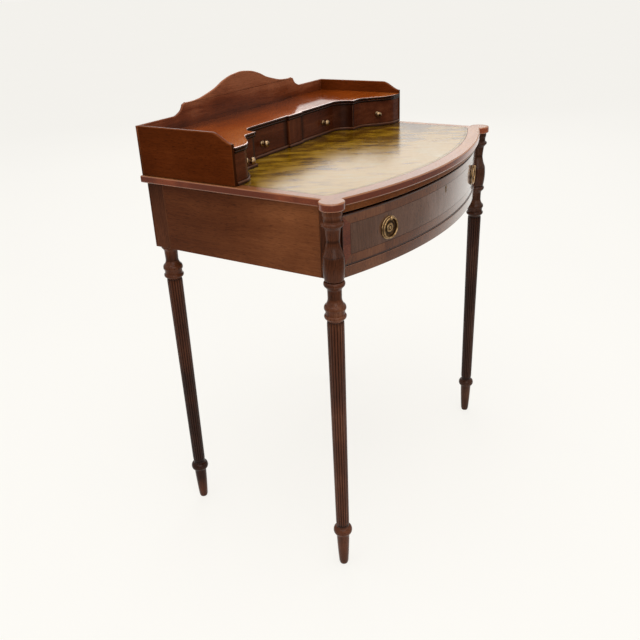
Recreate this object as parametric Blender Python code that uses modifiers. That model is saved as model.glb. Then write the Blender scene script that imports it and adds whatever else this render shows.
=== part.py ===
"""A small mahogany escritoire: a bow-fronted writing table on reeded legs, with a low
superstructure of four small drawers under a shaped gallery.

Metres, +Z up, front towards -Y, origin on the floor under the middle of the desk.
Inside the script a plan position is measured from the line through the two front legs,
and the empty DESK_ORIGIN carries everything from that line to the middle of the desk.
"""

import math

import bmesh
import bpy
from mathutils import Matrix, Vector

# The clearance that glued, seated and resting faces keep.
GAP = 0.0003
# How far a cutter runs past the face that it cuts.
OVERRUN = 0.002

# Writing table top.
SURFACE_HEIGHT = 0.760
TOP_THICKNESS = 0.014
TOP_HALF_WIDTH = 0.3285
TOP_BACK = 0.422
TOP_BOW = 0.073
# How far the front edge falls back from its middle to the ears.
TOP_FALL = 0.0725
TOP_ARRIS = 0.0015
EAR_RADIUS = 0.0225
EAR_OUTSET = 0.0009

# Leather let into the top.
LEATHER_BORDER_SIDE = 0.020
LEATHER_BORDER_FRONT = 0.027
LEATHER_BACK = 0.296
LEATHER_THICKNESS = 0.0013

# Frame under the top.
APRON_HEIGHT = 0.1282
APRON_THICKNESS = 0.015
SIDE_OVERHANG = 0.0070
BACK_OVERHANG = 0.0085
STILE_FRONT = 0.002
STILE_DEPTH = 0.032
BLOCK_SIDE = 0.038
BACK_RAIL_THICKNESS = 0.018
BACK_RAIL_INSET = 0.002
# How far the bowed rails fall back from their middle to the legs.
RAIL_FALL = 0.0662
BOTTOM_RAIL_BOW = 0.0611
BOTTOM_RAIL_HEIGHT = 0.0200
BOTTOM_RAIL_DEPTH = 0.042
TOP_RAIL_BOW = 0.0640
TOP_RAIL_HEIGHT = 0.0115
TOP_RAIL_DEPTH = 0.036
STOP_LENGTH = 0.045
STOP_DEPTH = 0.014
STOP_HEIGHT = 0.0050
RUNNER_WIDTH = 0.022
KICKER_HEIGHT = 0.0145
SLIDE_CLEARANCE = 0.0010

# Legs.
LEG_RADIUS = 0.0199
REED_COUNT = 18
REED_DEPTH = 0.0013
REED_RUNOUT = 0.005
REED_TOP_RADIUS = 0.0155
REED_BOTTOM_RADIUS = 0.0130

# Long drawer.
DRAWER_FRONT_THICKNESS = 0.020
DRAWER_HEAD_ROOM = 0.0052
BEAD_WIDTH = 0.0026
BEAD_PROUD = 0.0012
DRAWER_BACK_ROOM = 0.0255
DRAWER_WALL = 0.010
DRAWER_SIDE_DROP = 0.006
DRAWER_BOTTOM_THICKNESS = 0.005
DRAWER_BOTTOM_RISE = 0.006
DRAWER_GROOVE = 0.004

# Lock and keyhole.
KEYHOLE_DROP = 0.023
KEYHOLE_RADIUS = 0.0022
KEYHOLE_SLOT_WIDTH = 0.0022
KEYHOLE_LENGTH = 0.0085
ESCUTCHEON_RIM = 0.0019
ESCUTCHEON_DEPTH = 0.0022
LOCK_WIDTH = 0.062
LOCK_HEIGHT = 0.038
LOCK_DEPTH = 0.009
LOCK_ARRIS = 0.0012

# Ring pulls.
PULL_BELOW_TOP = 0.0475
PLATE_RADIUS = 0.0215
PLATE_HEIGHT = 0.0042
RING_RADIUS = 0.0180
RING_WIRE_RADIUS = 0.0015
RING_STAND_OFF = 0.0046
POST_RADIUS = 0.0034
POST_ROOT = 0.0008

# Superstructure.
BASE_THICKNESS = 0.0065
CELL_HEIGHT = 0.050
DECK_CAP = 0.0052
DECK_BEAD = 0.0048
DECK_CAP_PROUD = 0.0035
DECK_BEAD_PROUD = 0.0022
BASE_PROUD = 0.0028
PILASTER_HALF_WIDTH = 0.0235
PILASTER_PROUD = 0.0042
PILASTER_THICKNESS = 0.0085
PARTITION_THICKNESS = 0.0060
INNER_FACE_Y = 0.2885
COVE_RADIUS = 0.0345
OUTER_FACE_BACK_Y = 0.2520
OUTER_FACE_FRONT_Y = 0.1992

# Gallery.
GALLERY_SET_IN = 0.0035
GALLERY_THICKNESS = 0.0075
GALLERY_BACK_THICKNESS = 0.0055
GALLERY_BACK_INSET = 0.0015
GALLERY_SIDE_FRONT = 0.198
GALLERY_SIDE_TOP = 0.0918
GALLERY_OGEE_LENGTH = 0.044
GALLERY_OGEE_DROP = 0.018
GALLERY_PEAK = 0.1490
GALLERY_STEP_RISE = 0.0210
GALLERY_ARRIS = 0.0012

# Small drawers.
SMALL_FRONT_THICKNESS = 0.011
SMALL_WALL = 0.005
SMALL_BOTTOM_THICKNESS = 0.003
SMALL_BOTTOM_RISE = 0.003
SMALL_GROOVE = 0.002
SMALL_SIDE_DROP = 0.005
SMALL_BACK_ROOM = 0.013
SMALL_PLAY = 0.0006
KNOB_RADIUS = 0.0068
KNOB_LENGTH = 0.0170
KNOB_BELOW_TOP = 0.0285

# Segments.
LEG_SEGMENTS = 16
KNOB_SEGMENTS = 16
PLATE_SEGMENTS = 22
RING_SEGMENTS = 32
WIRE_SEGMENTS = 8
BOW_STEPS = 20
FLOOR_STEPS = 48
EAR_STEPS = 16
COVE_STEPS = 7
SWEEP_STEPS = 10

# Turning of a leg from its top to the reeding, then from the reeding to the floor. Each row
# runs to (height, radius), as shares of the leg's height and greatest radius, and swells by
# the last share on the way; a row of kind "round" swells as half an ellipse.
LEG_TOP_SHARE = (1.0, 0.90)
UPPER_TURNING_SHARES = (
    ("line", 0.9890, 0.875, 0.0),
    ("round", 0.9735, 0.835, -0.05),
    ("round", 0.9630, 0.835, 0.165),
    ("line", 0.9600, 0.805, 0.0),
    ("line", 0.9585, 0.715, 0.0),
    ("sweep", 0.9275, 0.595, -0.015),
    ("sweep", 0.8950, 0.925, -0.055),
    ("line", 0.8942, 0.90, 0.0),
    ("line", 0.8928, 0.935, 0.0),
    ("sweep", 0.8400, 0.87, 0.075),
    ("sweep", 0.8335, 0.78, 0.02),
    ("round", 0.8200, 0.76, 0.185),
)
LOWER_TURNING_SHARES = (
    ("line", 0.8185, 0.76, 0.0),
    ("sweep", 0.8110, 0.635, -0.03),
    ("line", 0.7915, 0.625, 0.0),
    ("sweep", 0.7755, 0.83, -0.05),
    ("round", 0.7630, 0.90, 0.115),
    ("sweep", 0.7510, 0.87, -0.015),
    ("round", 0.7400, 0.83, 0.14),
)
# The turning of a back leg starts inside its block.
BACK_NECK_SHARE = 0.88
BACK_TURNING_SHARES = (
    ("line", 0.8230, 0.88, 0.0),
    ("sweep", 0.8130, 0.66, -0.03),
    ("line", 0.7890, 0.635, 0.0),
    ("sweep", 0.7745, 0.83, -0.05),
    ("round", 0.7610, 0.90, 0.115),
    ("sweep", 0.7490, 0.87, -0.015),
    ("round", 0.7385, 0.83, 0.14),
)
FOOT_TURNING_SHARES = (
    ("line", 0.1265, 0.65, 0.0),
    ("round", 0.1040, 0.70, 0.26),
    ("line", 0.1025, 0.65, 0.0),
    ("sweep", 0.0300, 0.53, 0.01),
    ("line", 0.0070, 0.47, 0.0),
    ("line", 0.0, 0.39, 0.0),
)
REED_TOP_SHARE = 0.7350
REED_BOTTOM_SHARE = 0.1335
# Points across one reed: (share of its pitch, share of its depth left in).
REED_SECTION_SHARES = ((0.0, 0.0), (0.22, 0.78), (0.5, 1.0), (0.78, 0.78))

# Turned brass, from the middle of the front face out to the rim and back to the axis.
PLATE_SHARES = (
    (0.0, 1.0), (0.10, 0.95), (0.15, 0.74), (0.21, 0.71), (0.26, 0.88), (0.36, 0.88),
    (0.43, 0.50), (0.50, 0.36), (0.80, 0.33), (0.87, 0.52), (0.95, 0.52), (1.0, 0.24),
    (1.0, 0.0), (0.0, 0.0),
)
POST_SHARES = (
    (0.0, 1.0), (0.55, 0.93), (0.90, 0.72), (1.0, 0.50), (0.90, 0.28), (0.70, 0.12),
    (0.70, 0.0), (0.0, 0.0),
)
KNOB_SHARES = (
    (0.0, 1.0), (0.42, 0.975), (0.80, 0.87), (1.0, 0.68), (0.92, 0.50), (0.62, 0.38),
    (0.36, 0.30), (0.40, 0.22), (0.74, 0.15), (0.86, 0.08), (0.86, 0.0), (0.0, 0.0),
)
# Half of the back gallery's crest, from the step to the middle: shares of the step's
# distance from the middle and of the rise from the step to the peak.
CREST_SHARES = (
    (1.0, 0.0), (0.92, -0.02), (0.77, 0.03), (0.63, 0.18), (0.47, 0.41), (0.35, 0.67),
    (0.22, 0.87), (0.11, 0.96), (0.0, 1.0),
)
# The hollow between shoulder and step: shares of their distance and of the step's rise.
STEP_SHARES = ((0.0, 0.0), (0.21, 0.07), (0.56, 0.34), (0.74, 0.68), (0.80, 0.86), (1.0, 0.96))
OGEE_STEPS = 8
# Moulded front edges from the bottom up: shares of the board's height and of how far it
# stands proud of the drawers. The deck's cap follows on from its bead.
BASE_EDGE_SHARES = ((0.0, 1.0), (0.60, 1.0), (0.90, 0.72), (1.0, 0.30))
BEAD_EDGE_SHARES = ((0.0, 0.20), (0.16, 0.80), (0.50, 1.0), (0.84, 0.80), (0.90, 0.10))
CAP_EDGE_SHARES = ((0.0, 0.36), (0.20, 0.88), (0.50, 1.0), (0.80, 0.88), (1.0, 0.36))

# Places across the desk, as shares of the width that holds them.
PULL_SHARE = 0.648
STOP_SHARE = 0.52
SHOULDER_SHARE = 0.6846
STEP_SHARE = 0.5800
INNER_CELL_SHARE = 0.598
INNER_KNOB_SHARE = 0.616
OUTER_KNOB_SHARE = 0.490
SWEEP_START_SHARE = 0.14
SWEEP_END_SHARE = 0.80

# Sizes that follow from those above.
LEG_LINE_X = TOP_HALF_WIDTH + EAR_OUTSET
TOP_RADIUS = (TOP_HALF_WIDTH**2 + TOP_FALL**2) / (2 * TOP_FALL)
RAIL_RADIUS = (LEG_LINE_X**2 + RAIL_FALL**2) / (2 * RAIL_FALL)
APRON_FACE_X = TOP_HALF_WIDTH - SIDE_OVERHANG
BLOCK_BACK = TOP_BACK - BACK_OVERHANG
TOP_UNDERSIDE = SURFACE_HEIGHT - TOP_THICKNESS
FRAME_TOP = TOP_UNDERSIDE - GAP
FRAME_BOTTOM = FRAME_TOP - APRON_HEIGHT
DRAWER_BOTTOM_Z = FRAME_BOTTOM + BOTTOM_RAIL_HEIGHT + SLIDE_CLEARANCE
DRAWER_TOP_Z = FRAME_TOP - TOP_RAIL_HEIGHT - DRAWER_HEAD_ROOM
DRAWER_FRONT_HEIGHT = DRAWER_TOP_Z - DRAWER_BOTTOM_Z
DRAWER_HALF = APRON_FACE_X - APRON_THICKNESS - SLIDE_CLEARANCE
BASE_BOTTOM = SURFACE_HEIGHT + GAP
BASE_TOP = BASE_BOTTOM + BASE_THICKNESS
DECK_BOTTOM = BASE_TOP + CELL_HEIGHT
DECK_TOP = DECK_BOTTOM + DECK_BEAD + DECK_CAP
GALLERY_BACK_FRONT_Y = TOP_BACK - GALLERY_BACK_INSET - GALLERY_BACK_THICKNESS
GALLERY_HALF_WIDTH = TOP_HALF_WIDTH - GALLERY_SET_IN
CELL_END_X = GALLERY_HALF_WIDTH - GALLERY_THICKNESS - GAP
PARTITION_X = INNER_CELL_SHARE * CELL_END_X
OUTER_CELL_X = PARTITION_X + PARTITION_THICKNESS
SWEEP_START_X = OUTER_CELL_X + SWEEP_START_SHARE * (CELL_END_X - OUTER_CELL_X)
SWEEP_END_X = OUTER_CELL_X + SWEEP_END_SHARE * (CELL_END_X - OUTER_CELL_X)
INNER_KNOB_X = INNER_KNOB_SHARE * PARTITION_X
OUTER_KNOB_X = OUTER_CELL_X + OUTER_KNOB_SHARE * (CELL_END_X - OUTER_CELL_X)
GALLERY_SHOULDER_X = SHOULDER_SHARE * GALLERY_HALF_WIDTH
GALLERY_STEP_X = STEP_SHARE * GALLERY_HALF_WIDTH
PULL_X = PULL_SHARE * DRAWER_HALF
STOP_X = STOP_SHARE * DRAWER_HALF
DRAWER_BACK_Y = BLOCK_BACK - BLOCK_SIDE - DRAWER_BACK_ROOM
SMALL_BACK_Y = GALLERY_BACK_FRONT_Y - SMALL_BACK_ROOM
SMALL_BOTTOM_Z = BASE_TOP + GAP
SMALL_TOP_Z = DECK_BOTTOM - SMALL_PLAY
LEG_LINE_Y = (TOP_BOW - TOP_BACK) / 2


def clear_scene():
    """Remove whatever objects the file holds."""
    for obj in list(bpy.data.objects):
        bpy.data.objects.remove(obj, do_unlink=True)


def new_collection(name):
    """A collection under the scene's own."""
    made = bpy.data.collections.new(name)
    bpy.context.scene.collection.children.link(made)
    return made


clear_scene()
PARTS = new_collection("escritoire")
CUTTERS = new_collection("escritoire_cutters")


def new_material(name, colour, roughness, metallic=0.0):
    """A plain Principled material in a linear colour."""
    made = bpy.data.materials.new(name)
    made.use_nodes = True
    shader = made.node_tree.nodes["Principled BSDF"]
    shader.inputs["Base Color"].default_value = (*colour, 1.0)
    shader.inputs["Roughness"].default_value = roughness
    shader.inputs["Metallic"].default_value = metallic
    made.diffuse_color = (*colour, 1.0)
    return made


MAHOGANY = new_material("mahogany", (0.105, 0.027, 0.010), 0.30)
MAHOGANY_LIGHT = new_material("mahogany_light", (0.235, 0.072, 0.022), 0.26)
MAHOGANY_DARK = new_material("mahogany_dark", (0.047, 0.016, 0.009), 0.34)
LEATHER = new_material("leather", (0.270, 0.200, 0.070), 0.42)
BRASS = new_material("brass", (0.560, 0.370, 0.130), 0.30, 1.0)
LINING = new_material("drawer_lining", (0.290, 0.165, 0.080), 0.55)
CARCASS_WOOD = new_material("carcass_wood", (0.190, 0.100, 0.048), 0.60)


def new_empty(name, location, parent=None):
    """An empty that carries pieces, placed in the frame of its parent."""
    made = bpy.data.objects.new(name, None)
    PARTS.objects.link(made)
    made.parent = parent
    made.location = location
    made.empty_display_size = GAP
    return made


def new_piece(name, mesh, material, parent, location=(0.0, 0.0, 0.0), turn=None):
    """A named piece of the desk from a mesh."""
    mesh.name = name
    made = bpy.data.objects.new(name, mesh)
    PARTS.objects.link(made)
    made.parent = parent
    made.location = location
    if turn is not None:
        made.rotation_euler = turn
    if not mesh.materials:
        mesh.materials.append(material)
    return made


def as_cutter(obj):
    """Move an object to the cutters, unseen by a render."""
    PARTS.objects.unlink(obj)
    CUTTERS.objects.link(obj)
    obj.hide_render = True
    obj.display_type = "WIRE"
    return obj


def combine(obj, other, operation):
    """Join or cut a piece with another, which becomes a cutter."""
    modifier = obj.modifiers.new(operation.lower() + "_" + other.name, "BOOLEAN")
    modifier.operation = operation
    modifier.object = as_cutter(other) if other.name in PARTS.objects else other
    return obj


def outline_mesh(points, thickness, arris=0.0, arris_steps=2):
    """The closed plate of a flat outline in X and Y, half its thickness either side of Z = 0,
    with both its edges rounded by the arris."""
    curve = bpy.data.curves.new("outline", "CURVE")
    curve.dimensions = "2D"
    curve.fill_mode = "BOTH"
    curve.extrude = thickness / 2
    spline = curve.splines.new("POLY")
    spline.points.add(len(points) - 1)
    for point, (x, y) in zip(spline.points, points):
        point.co = (x, y, 0.0, 1.0)
    spline.use_cyclic_u = True
    holder = bpy.data.objects.new("outline", curve)
    bpy.context.scene.collection.objects.link(holder)
    graph = bpy.context.evaluated_depsgraph_get()
    mesh = bpy.data.meshes.new_from_object(holder.evaluated_get(graph))
    bpy.data.objects.remove(holder, do_unlink=True)
    bpy.data.curves.remove(curve)

    shape = bmesh.new()
    shape.from_mesh(mesh)
    bmesh.ops.remove_doubles(shape, verts=shape.verts, dist=GAP / 30)
    bmesh.ops.dissolve_limit(
        shape, angle_limit=math.radians(0.5), verts=shape.verts, edges=shape.edges
    )
    bmesh.ops.recalc_face_normals(shape, faces=shape.faces)
    if arris:
        rims = [
            edge
            for edge in shape.edges
            if len(edge.link_faces) == 2
            and sum(abs(face.normal.z) > 0.9 for face in edge.link_faces) == 1
        ]
        bmesh.ops.bevel(
            shape,
            geom=rims,
            offset=arris,
            segments=arris_steps,
            profile=0.5,
            affect="EDGES",
            clamp_overlap=True,
        )
        bmesh.ops.recalc_face_normals(shape, faces=shape.faces)
    shape.to_mesh(mesh)
    shape.free()
    return mesh


def plate(name, points, bottom, thickness, material, parent, arris=0.0, arris_steps=2):
    """A horizontal plate with this plan outline, from the height of its bottom."""
    mesh = outline_mesh(points, thickness, arris, arris_steps)
    return new_piece(name, mesh, material, parent, (0.0, 0.0, bottom + thickness / 2))


def upright(name, points, y_front, thickness, material, parent, arris=0.0):
    """An upright plate with this outline in X and Z, facing the front."""
    mesh = outline_mesh(points, thickness, arris)
    mesh.transform(Matrix.Rotation(math.radians(90), 4, "X"))
    return new_piece(name, mesh, material, parent, (0.0, y_front + thickness / 2, 0.0))


def board(name, low, high, material, parent, arris=0.0):
    """A rectangular board between two corners."""
    size = [b - a for a, b in zip(low, high)]
    middle = [(a + b) / 2 for a, b in zip(low, high)]
    shape = bmesh.new()
    bmesh.ops.create_cube(shape, size=1.0, matrix=Matrix.Diagonal((*size, 1.0)))
    if arris:
        bmesh.ops.bevel(
            shape,
            geom=shape.edges[:],
            offset=arris,
            segments=1,
            profile=0.5,
            affect="EDGES",
        )
    mesh = bpy.data.meshes.new(name)
    shape.to_mesh(mesh)
    shape.free()
    return new_piece(name, mesh, material, parent, middle)


def turned(name, profile, segments, material, parent, location, turn=None):
    """A piece turned about its own Z: (radius, height) points from the top down."""
    mesh = bpy.data.meshes.new(name)
    mesh.from_pydata(
        [(radius, 0.0, height) for radius, height in profile],
        [(i, i + 1) for i in range(len(profile) - 1)],
        [],
    )
    made = new_piece(name, mesh, material, parent, location, turn)
    screw = made.modifiers.new("turning", "SCREW")
    screw.axis = "Z"
    screw.steps = segments
    screw.render_steps = segments
    screw.use_merge_vertices = True
    screw.merge_threshold = GAP / 30
    screw.use_smooth_shade = True
    return made


def bow_y(x, bow, radius):
    """Y of a bowed line that stands `bow` forward of the leg line at its middle."""
    return radius - bow - math.sqrt(radius**2 - x**2)


def bow_points(half, bow, radius):
    """Points of a bowed line from one side to the other."""
    steps = [half * (2 * i / BOW_STEPS - 1) for i in range(BOW_STEPS + 1)]
    return [(x, bow_y(x, bow, radius)) for x in steps]


def bow_band(half, bow, radius, depth):
    """Plan outline of a rail of even depth that follows a bow."""
    back = bow_points(half, bow - depth, radius - depth)
    return bow_points(half, bow, radius) + back[::-1]


def mirrored(points):
    """A closed outline from its right half, given from the middle of the front round to
    the middle of the back."""
    return points + [(-x, y) for x, y in reversed(points) if abs(x) > GAP]


def build_top(root):
    """The top board with its round ears, and the leather let into it."""
    side_turn = math.acos((TOP_HALF_WIDTH - LEG_LINE_X) / EAR_RADIUS)
    low, high = -math.pi, -math.pi / 2
    for _ in range(40):
        middle = (low + high) / 2
        x = LEG_LINE_X + EAR_RADIUS * math.cos(middle)
        outside = EAR_RADIUS * math.sin(middle) < bow_y(x, TOP_BOW, TOP_RADIUS)
        low, high = (low, middle) if outside else (middle, high)
    bow_end = LEG_LINE_X + EAR_RADIUS * math.cos(low)
    bow = [(x, y) for x, y in bow_points(bow_end, TOP_BOW, TOP_RADIUS) if x > -GAP]
    ear = [
        (LEG_LINE_X + EAR_RADIUS * math.cos(turn), EAR_RADIUS * math.sin(turn))
        for turn in (low + (side_turn - low) * i / EAR_STEPS for i in range(1, EAR_STEPS + 1))
    ]
    outline = mirrored(bow + ear + [(TOP_HALF_WIDTH, TOP_BACK)])
    top = plate(
        "top_board", outline, TOP_UNDERSIDE, TOP_THICKNESS, MAHOGANY_LIGHT, root, TOP_ARRIS
    )

    half = TOP_HALF_WIDTH - LEATHER_BORDER_SIDE
    recess_bow = TOP_BOW - LEATHER_BORDER_FRONT
    recess_radius = TOP_RADIUS - LEATHER_BORDER_FRONT
    recess = bow_points(half, recess_bow, recess_radius) + [
        (half, LEATHER_BACK),
        (-half, LEATHER_BACK),
    ]
    depth = LEATHER_THICKNESS + GAP
    cutter = plate(
        "leather_recess", recess, SURFACE_HEIGHT - depth, depth + OVERRUN, MAHOGANY, root
    )
    combine(top, cutter, "DIFFERENCE")
    inner = bow_points(half - GAP, recess_bow - GAP, recess_radius - GAP) + [
        (half - GAP, LEATHER_BACK - GAP),
        (GAP - half, LEATHER_BACK - GAP),
    ]
    plate(
        "leather_panel",
        inner,
        SURFACE_HEIGHT - LEATHER_THICKNESS,
        LEATHER_THICKNESS,
        LEATHER,
        root,
    )


def turning_points(start, rows, height, radius):
    """(radius, height) points of a turning from rows of shares."""
    points = [(start[1] * radius, start[0] * height)]
    from_z, from_r = start
    steps_of = {"line": 1, "round": 4, "sweep": 3}
    for kind, to_z, to_r, swell in rows:
        steps = steps_of[kind]
        for i in range(1, steps + 1):
            part = i / steps
            along = (1 - math.cos(math.pi * part)) / 2 if kind == "round" else part
            share = from_r + (to_r - from_r) * along + swell * math.sin(math.pi * part)
            points.append((share * radius, (from_z + (to_z - from_z) * along) * height))
        from_z, from_r = to_z, to_r
    return points


def reeded_shaft(name, root, location):
    """The tapered shaft of the leg with its reeds, which rise from the plain taper at both
    ends."""
    top, bottom = REED_TOP_SHARE * FRAME_TOP, REED_BOTTOM_SHARE * FRAME_TOP
    levels = (
        (top, 0.0),
        (top - REED_RUNOUT, 1.0),
        (bottom + REED_RUNOUT, 1.0),
        (bottom, 0.0),
    )
    shape = bmesh.new()
    rings = []
    for height, rise in levels:
        along = (height - bottom) / (top - bottom)
        crown = REED_BOTTOM_RADIUS + (REED_TOP_RADIUS - REED_BOTTOM_RADIUS) * along
        ring = []
        for reed in range(REED_COUNT):
            for across, left in REED_SECTION_SHARES:
                turn = 2 * math.pi * (reed + across) / REED_COUNT
                radius = crown - REED_DEPTH * (1 - left * rise)
                ring.append(
                    shape.verts.new((radius * math.cos(turn), radius * math.sin(turn), height))
                )
        rings.append(ring)
    count = len(rings[0])
    for upper, lower in zip(rings, rings[1:]):
        for i in range(count):
            j = (i + 1) % count
            shape.faces.new((upper[i], lower[i], lower[j], upper[j]))
    shape.faces.new(rings[0])
    shape.faces.new(rings[-1][::-1])
    bmesh.ops.recalc_face_normals(shape, faces=shape.faces)
    mesh = bpy.data.meshes.new(name)
    shape.to_mesh(mesh)
    shape.free()
    return new_piece(name, mesh, MAHOGANY_DARK, root, location)


def build_leg(name, root, x, y, head, head_rows, extra):
    """One turned leg with its reeded shaft and, joined to it, the square part that the
    rails meet."""
    height = FRAME_TOP
    upper = turning_points(head, head_rows, height, LEG_RADIUS)
    core_top = (REED_TOP_RADIUS - REED_DEPTH) * (1 - REED_DEPTH / REED_TOP_RADIUS)
    core_bottom = (REED_BOTTOM_RADIUS - REED_DEPTH) * (1 - REED_DEPTH / REED_BOTTOM_RADIUS)
    foot_start = (REED_BOTTOM_SHARE, core_bottom / LEG_RADIUS)
    foot = turning_points(foot_start, FOOT_TURNING_SHARES, height, LEG_RADIUS)
    profile = (
        [(0.0, upper[0][1])]
        + upper
        + [(core_top, REED_TOP_SHARE * height + REED_DEPTH)]
        + foot
        + [(0.0, 0.0)]
    )
    leg = turned(name, profile, LEG_SEGMENTS, MAHOGANY_DARK, root, (x, y, 0.0))
    combine(leg, reeded_shaft(name + "_reeds", root, (x, y, 0.0)), "UNION")
    combine(leg, extra, "UNION")


def build_legs(root):
    """Four legs: the front pair turned right up to the ears, with a stile behind the
    turning, and the back pair with a square block."""
    front_rows = UPPER_TURNING_SHARES + LOWER_TURNING_SHARES
    block_middle = APRON_FACE_X - BLOCK_SIDE / 2
    for side, hand in ((-1, "left"), (1, "right")):
        inner, outer = sorted(
            (side * (APRON_FACE_X - APRON_THICKNESS), side * APRON_FACE_X)
        )
        stile = board(
            f"stile_{hand}",
            (inner, -STILE_FRONT, FRAME_BOTTOM),
            (outer, STILE_DEPTH - STILE_FRONT, FRAME_TOP),
            MAHOGANY_DARK,
            root,
        )
        build_leg(
            f"leg_front_{hand}", root, side * LEG_LINE_X, 0.0, LEG_TOP_SHARE, front_rows, stile
        )
        middle = side * block_middle
        block = board(
            f"block_{hand}",
            (middle - BLOCK_SIDE / 2, BLOCK_BACK - BLOCK_SIDE, FRAME_BOTTOM),
            (middle + BLOCK_SIDE / 2, BLOCK_BACK, FRAME_TOP),
            MAHOGANY_DARK,
            root,
        )
        build_leg(
            f"leg_back_{hand}",
            root,
            middle,
            BLOCK_BACK - BLOCK_SIDE / 2,
            ((FRAME_BOTTOM + BLOCK_SIDE / 3) / FRAME_TOP, BACK_NECK_SHARE),
            BACK_TURNING_SHARES,
            block,
        )


def build_frame(root):
    """Aprons, back rail, the two bowed front rails, runners and kickers."""
    inner_x = APRON_FACE_X - APRON_THICKNESS
    stile_back = STILE_DEPTH - STILE_FRONT
    block_front = BLOCK_BACK - BLOCK_SIDE
    for side, hand in ((-1, "left"), (1, "right")):
        low_x, high_x = sorted((side * inner_x, side * APRON_FACE_X))
        board(
            f"apron_{hand}",
            (low_x, stile_back + GAP, FRAME_BOTTOM),
            (high_x, block_front - GAP, FRAME_TOP),
            MAHOGANY,
            root,
        )
        low_x, high_x = sorted(
            (side * (inner_x - GAP), side * (inner_x - GAP - RUNNER_WIDTH))
        )
        rail_back = bow_y(
            inner_x - GAP, BOTTOM_RAIL_BOW - BOTTOM_RAIL_DEPTH, RAIL_RADIUS - BOTTOM_RAIL_DEPTH
        )
        kicker_front = bow_y(
            inner_x - GAP, TOP_RAIL_BOW - TOP_RAIL_DEPTH, RAIL_RADIUS - TOP_RAIL_DEPTH
        )
        board(
            f"runner_{hand}",
            (low_x, rail_back + GAP, FRAME_BOTTOM),
            (high_x, block_front - GAP, DRAWER_BOTTOM_Z - GAP),
            CARCASS_WOOD,
            root,
        )
        board(
            f"kicker_{hand}",
            (low_x, kicker_front + GAP, FRAME_TOP - KICKER_HEIGHT),
            (high_x, block_front - GAP, FRAME_TOP),
            CARCASS_WOOD,
            root,
        )
    block_inner = APRON_FACE_X - BLOCK_SIDE
    rail_back = BLOCK_BACK - BACK_RAIL_INSET
    board(
        "back_rail",
        (GAP - block_inner, rail_back - BACK_RAIL_THICKNESS, FRAME_BOTTOM),
        (block_inner - GAP, rail_back, FRAME_TOP),
        MAHOGANY_DARK,
        root,
    )
    half = inner_x - GAP
    rail = plate(
        "bottom_rail",
        bow_band(half, BOTTOM_RAIL_BOW, RAIL_RADIUS, BOTTOM_RAIL_DEPTH),
        FRAME_BOTTOM,
        BOTTOM_RAIL_HEIGHT,
        MAHOGANY,
        root,
    )
    # Two stops behind the drawer front, low enough for the drawer bottom to pass over.
    stop_y = bow_y(
        STOP_X + STOP_LENGTH / 2,
        BOTTOM_RAIL_BOW - DRAWER_FRONT_THICKNESS,
        RAIL_RADIUS - DRAWER_FRONT_THICKNESS,
    )
    for side, hand in ((-1, "left"), (1, "right")):
        stop = board(
            f"drawer_stop_{hand}",
            (side * STOP_X - STOP_LENGTH / 2, stop_y + GAP, FRAME_BOTTOM + STOP_HEIGHT),
            (
                side * STOP_X + STOP_LENGTH / 2,
                stop_y + STOP_DEPTH,
                FRAME_BOTTOM + BOTTOM_RAIL_HEIGHT + STOP_HEIGHT,
            ),
            CARCASS_WOOD,
            root,
        )
        combine(rail, stop, "UNION")
    plate(
        "top_rail",
        bow_band(half, TOP_RAIL_BOW, RAIL_RADIUS, TOP_RAIL_DEPTH),
        FRAME_TOP - TOP_RAIL_HEIGHT,
        TOP_RAIL_HEIGHT,
        MAHOGANY,
        root,
    )


def box_drawer(name, slide, sides, back_y, bottom_z, top_z, front_line, wall, floor, rise, groove):
    """Sides, back and bottom of a drawer behind its front.

    sides holds the two outer X values, and front_line gives the Y of the drawer front's
    inner face for an X.
    """
    low_x, high_x = sides
    floor_z = bottom_z + rise
    corners = (low_x, low_x + wall, high_x - wall, high_x)
    groove_cut = (
        (low_x + wall - groove, min(front_line(x) for x in corners) - OVERRUN, floor_z - GAP),
        (high_x - wall + groove, back_y + OVERRUN, floor_z + floor + GAP),
    )
    cutter = as_cutter(board(name + "_groove", *groove_cut, LINING, slide))
    for hand, outer, inner in (
        ("left", low_x, low_x + wall),
        ("right", high_x, high_x - wall),
    ):
        side = plate(
            f"{name}_side_{hand}",
            [
                (outer, front_line(outer) + GAP),
                (outer, back_y),
                (inner, back_y),
                (inner, front_line(inner) + GAP),
            ],
            bottom_z,
            top_z - bottom_z,
            LINING,
            slide,
        )
        combine(side, cutter, "DIFFERENCE")
    board(
        f"{name}_back",
        (low_x + wall + GAP, back_y - wall, floor_z + floor + GAP),
        (high_x - wall - GAP, back_y, top_z),
        LINING,
        slide,
    )
    edge_low, edge_high = low_x + wall - groove + GAP, high_x - wall + groove - GAP
    steps = [edge_low + (edge_high - edge_low) * i / FLOOR_STEPS for i in range(FLOOR_STEPS + 1)]
    front = [(x, front_line(x) + GAP) for x in steps]
    plate(
        f"{name}_bottom",
        front + [(edge_high, back_y), (edge_low, back_y)],
        floor_z,
        floor,
        LINING,
        slide,
    )


def keyhole(radius, slot_half, length, grow):
    """Outline of a keyhole in X and Z: a round head over a straight slot, with its middle
    at the head, grown evenly."""
    round_radius, half = radius + grow, slot_half + grow
    start = math.asin(half / round_radius)
    turns = [
        -math.pi / 2 + start + (2 * math.pi - 2 * start) * i / EAR_STEPS
        for i in range(EAR_STEPS + 1)
    ]
    head = [(round_radius * math.cos(turn), round_radius * math.sin(turn)) for turn in turns]
    foot = radius - length - grow
    return head + [(-half, foot), (half, foot)]


def moved(points, x, y):
    """Outline points moved."""
    return [(a + x, b + y) for a, b in points]


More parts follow.
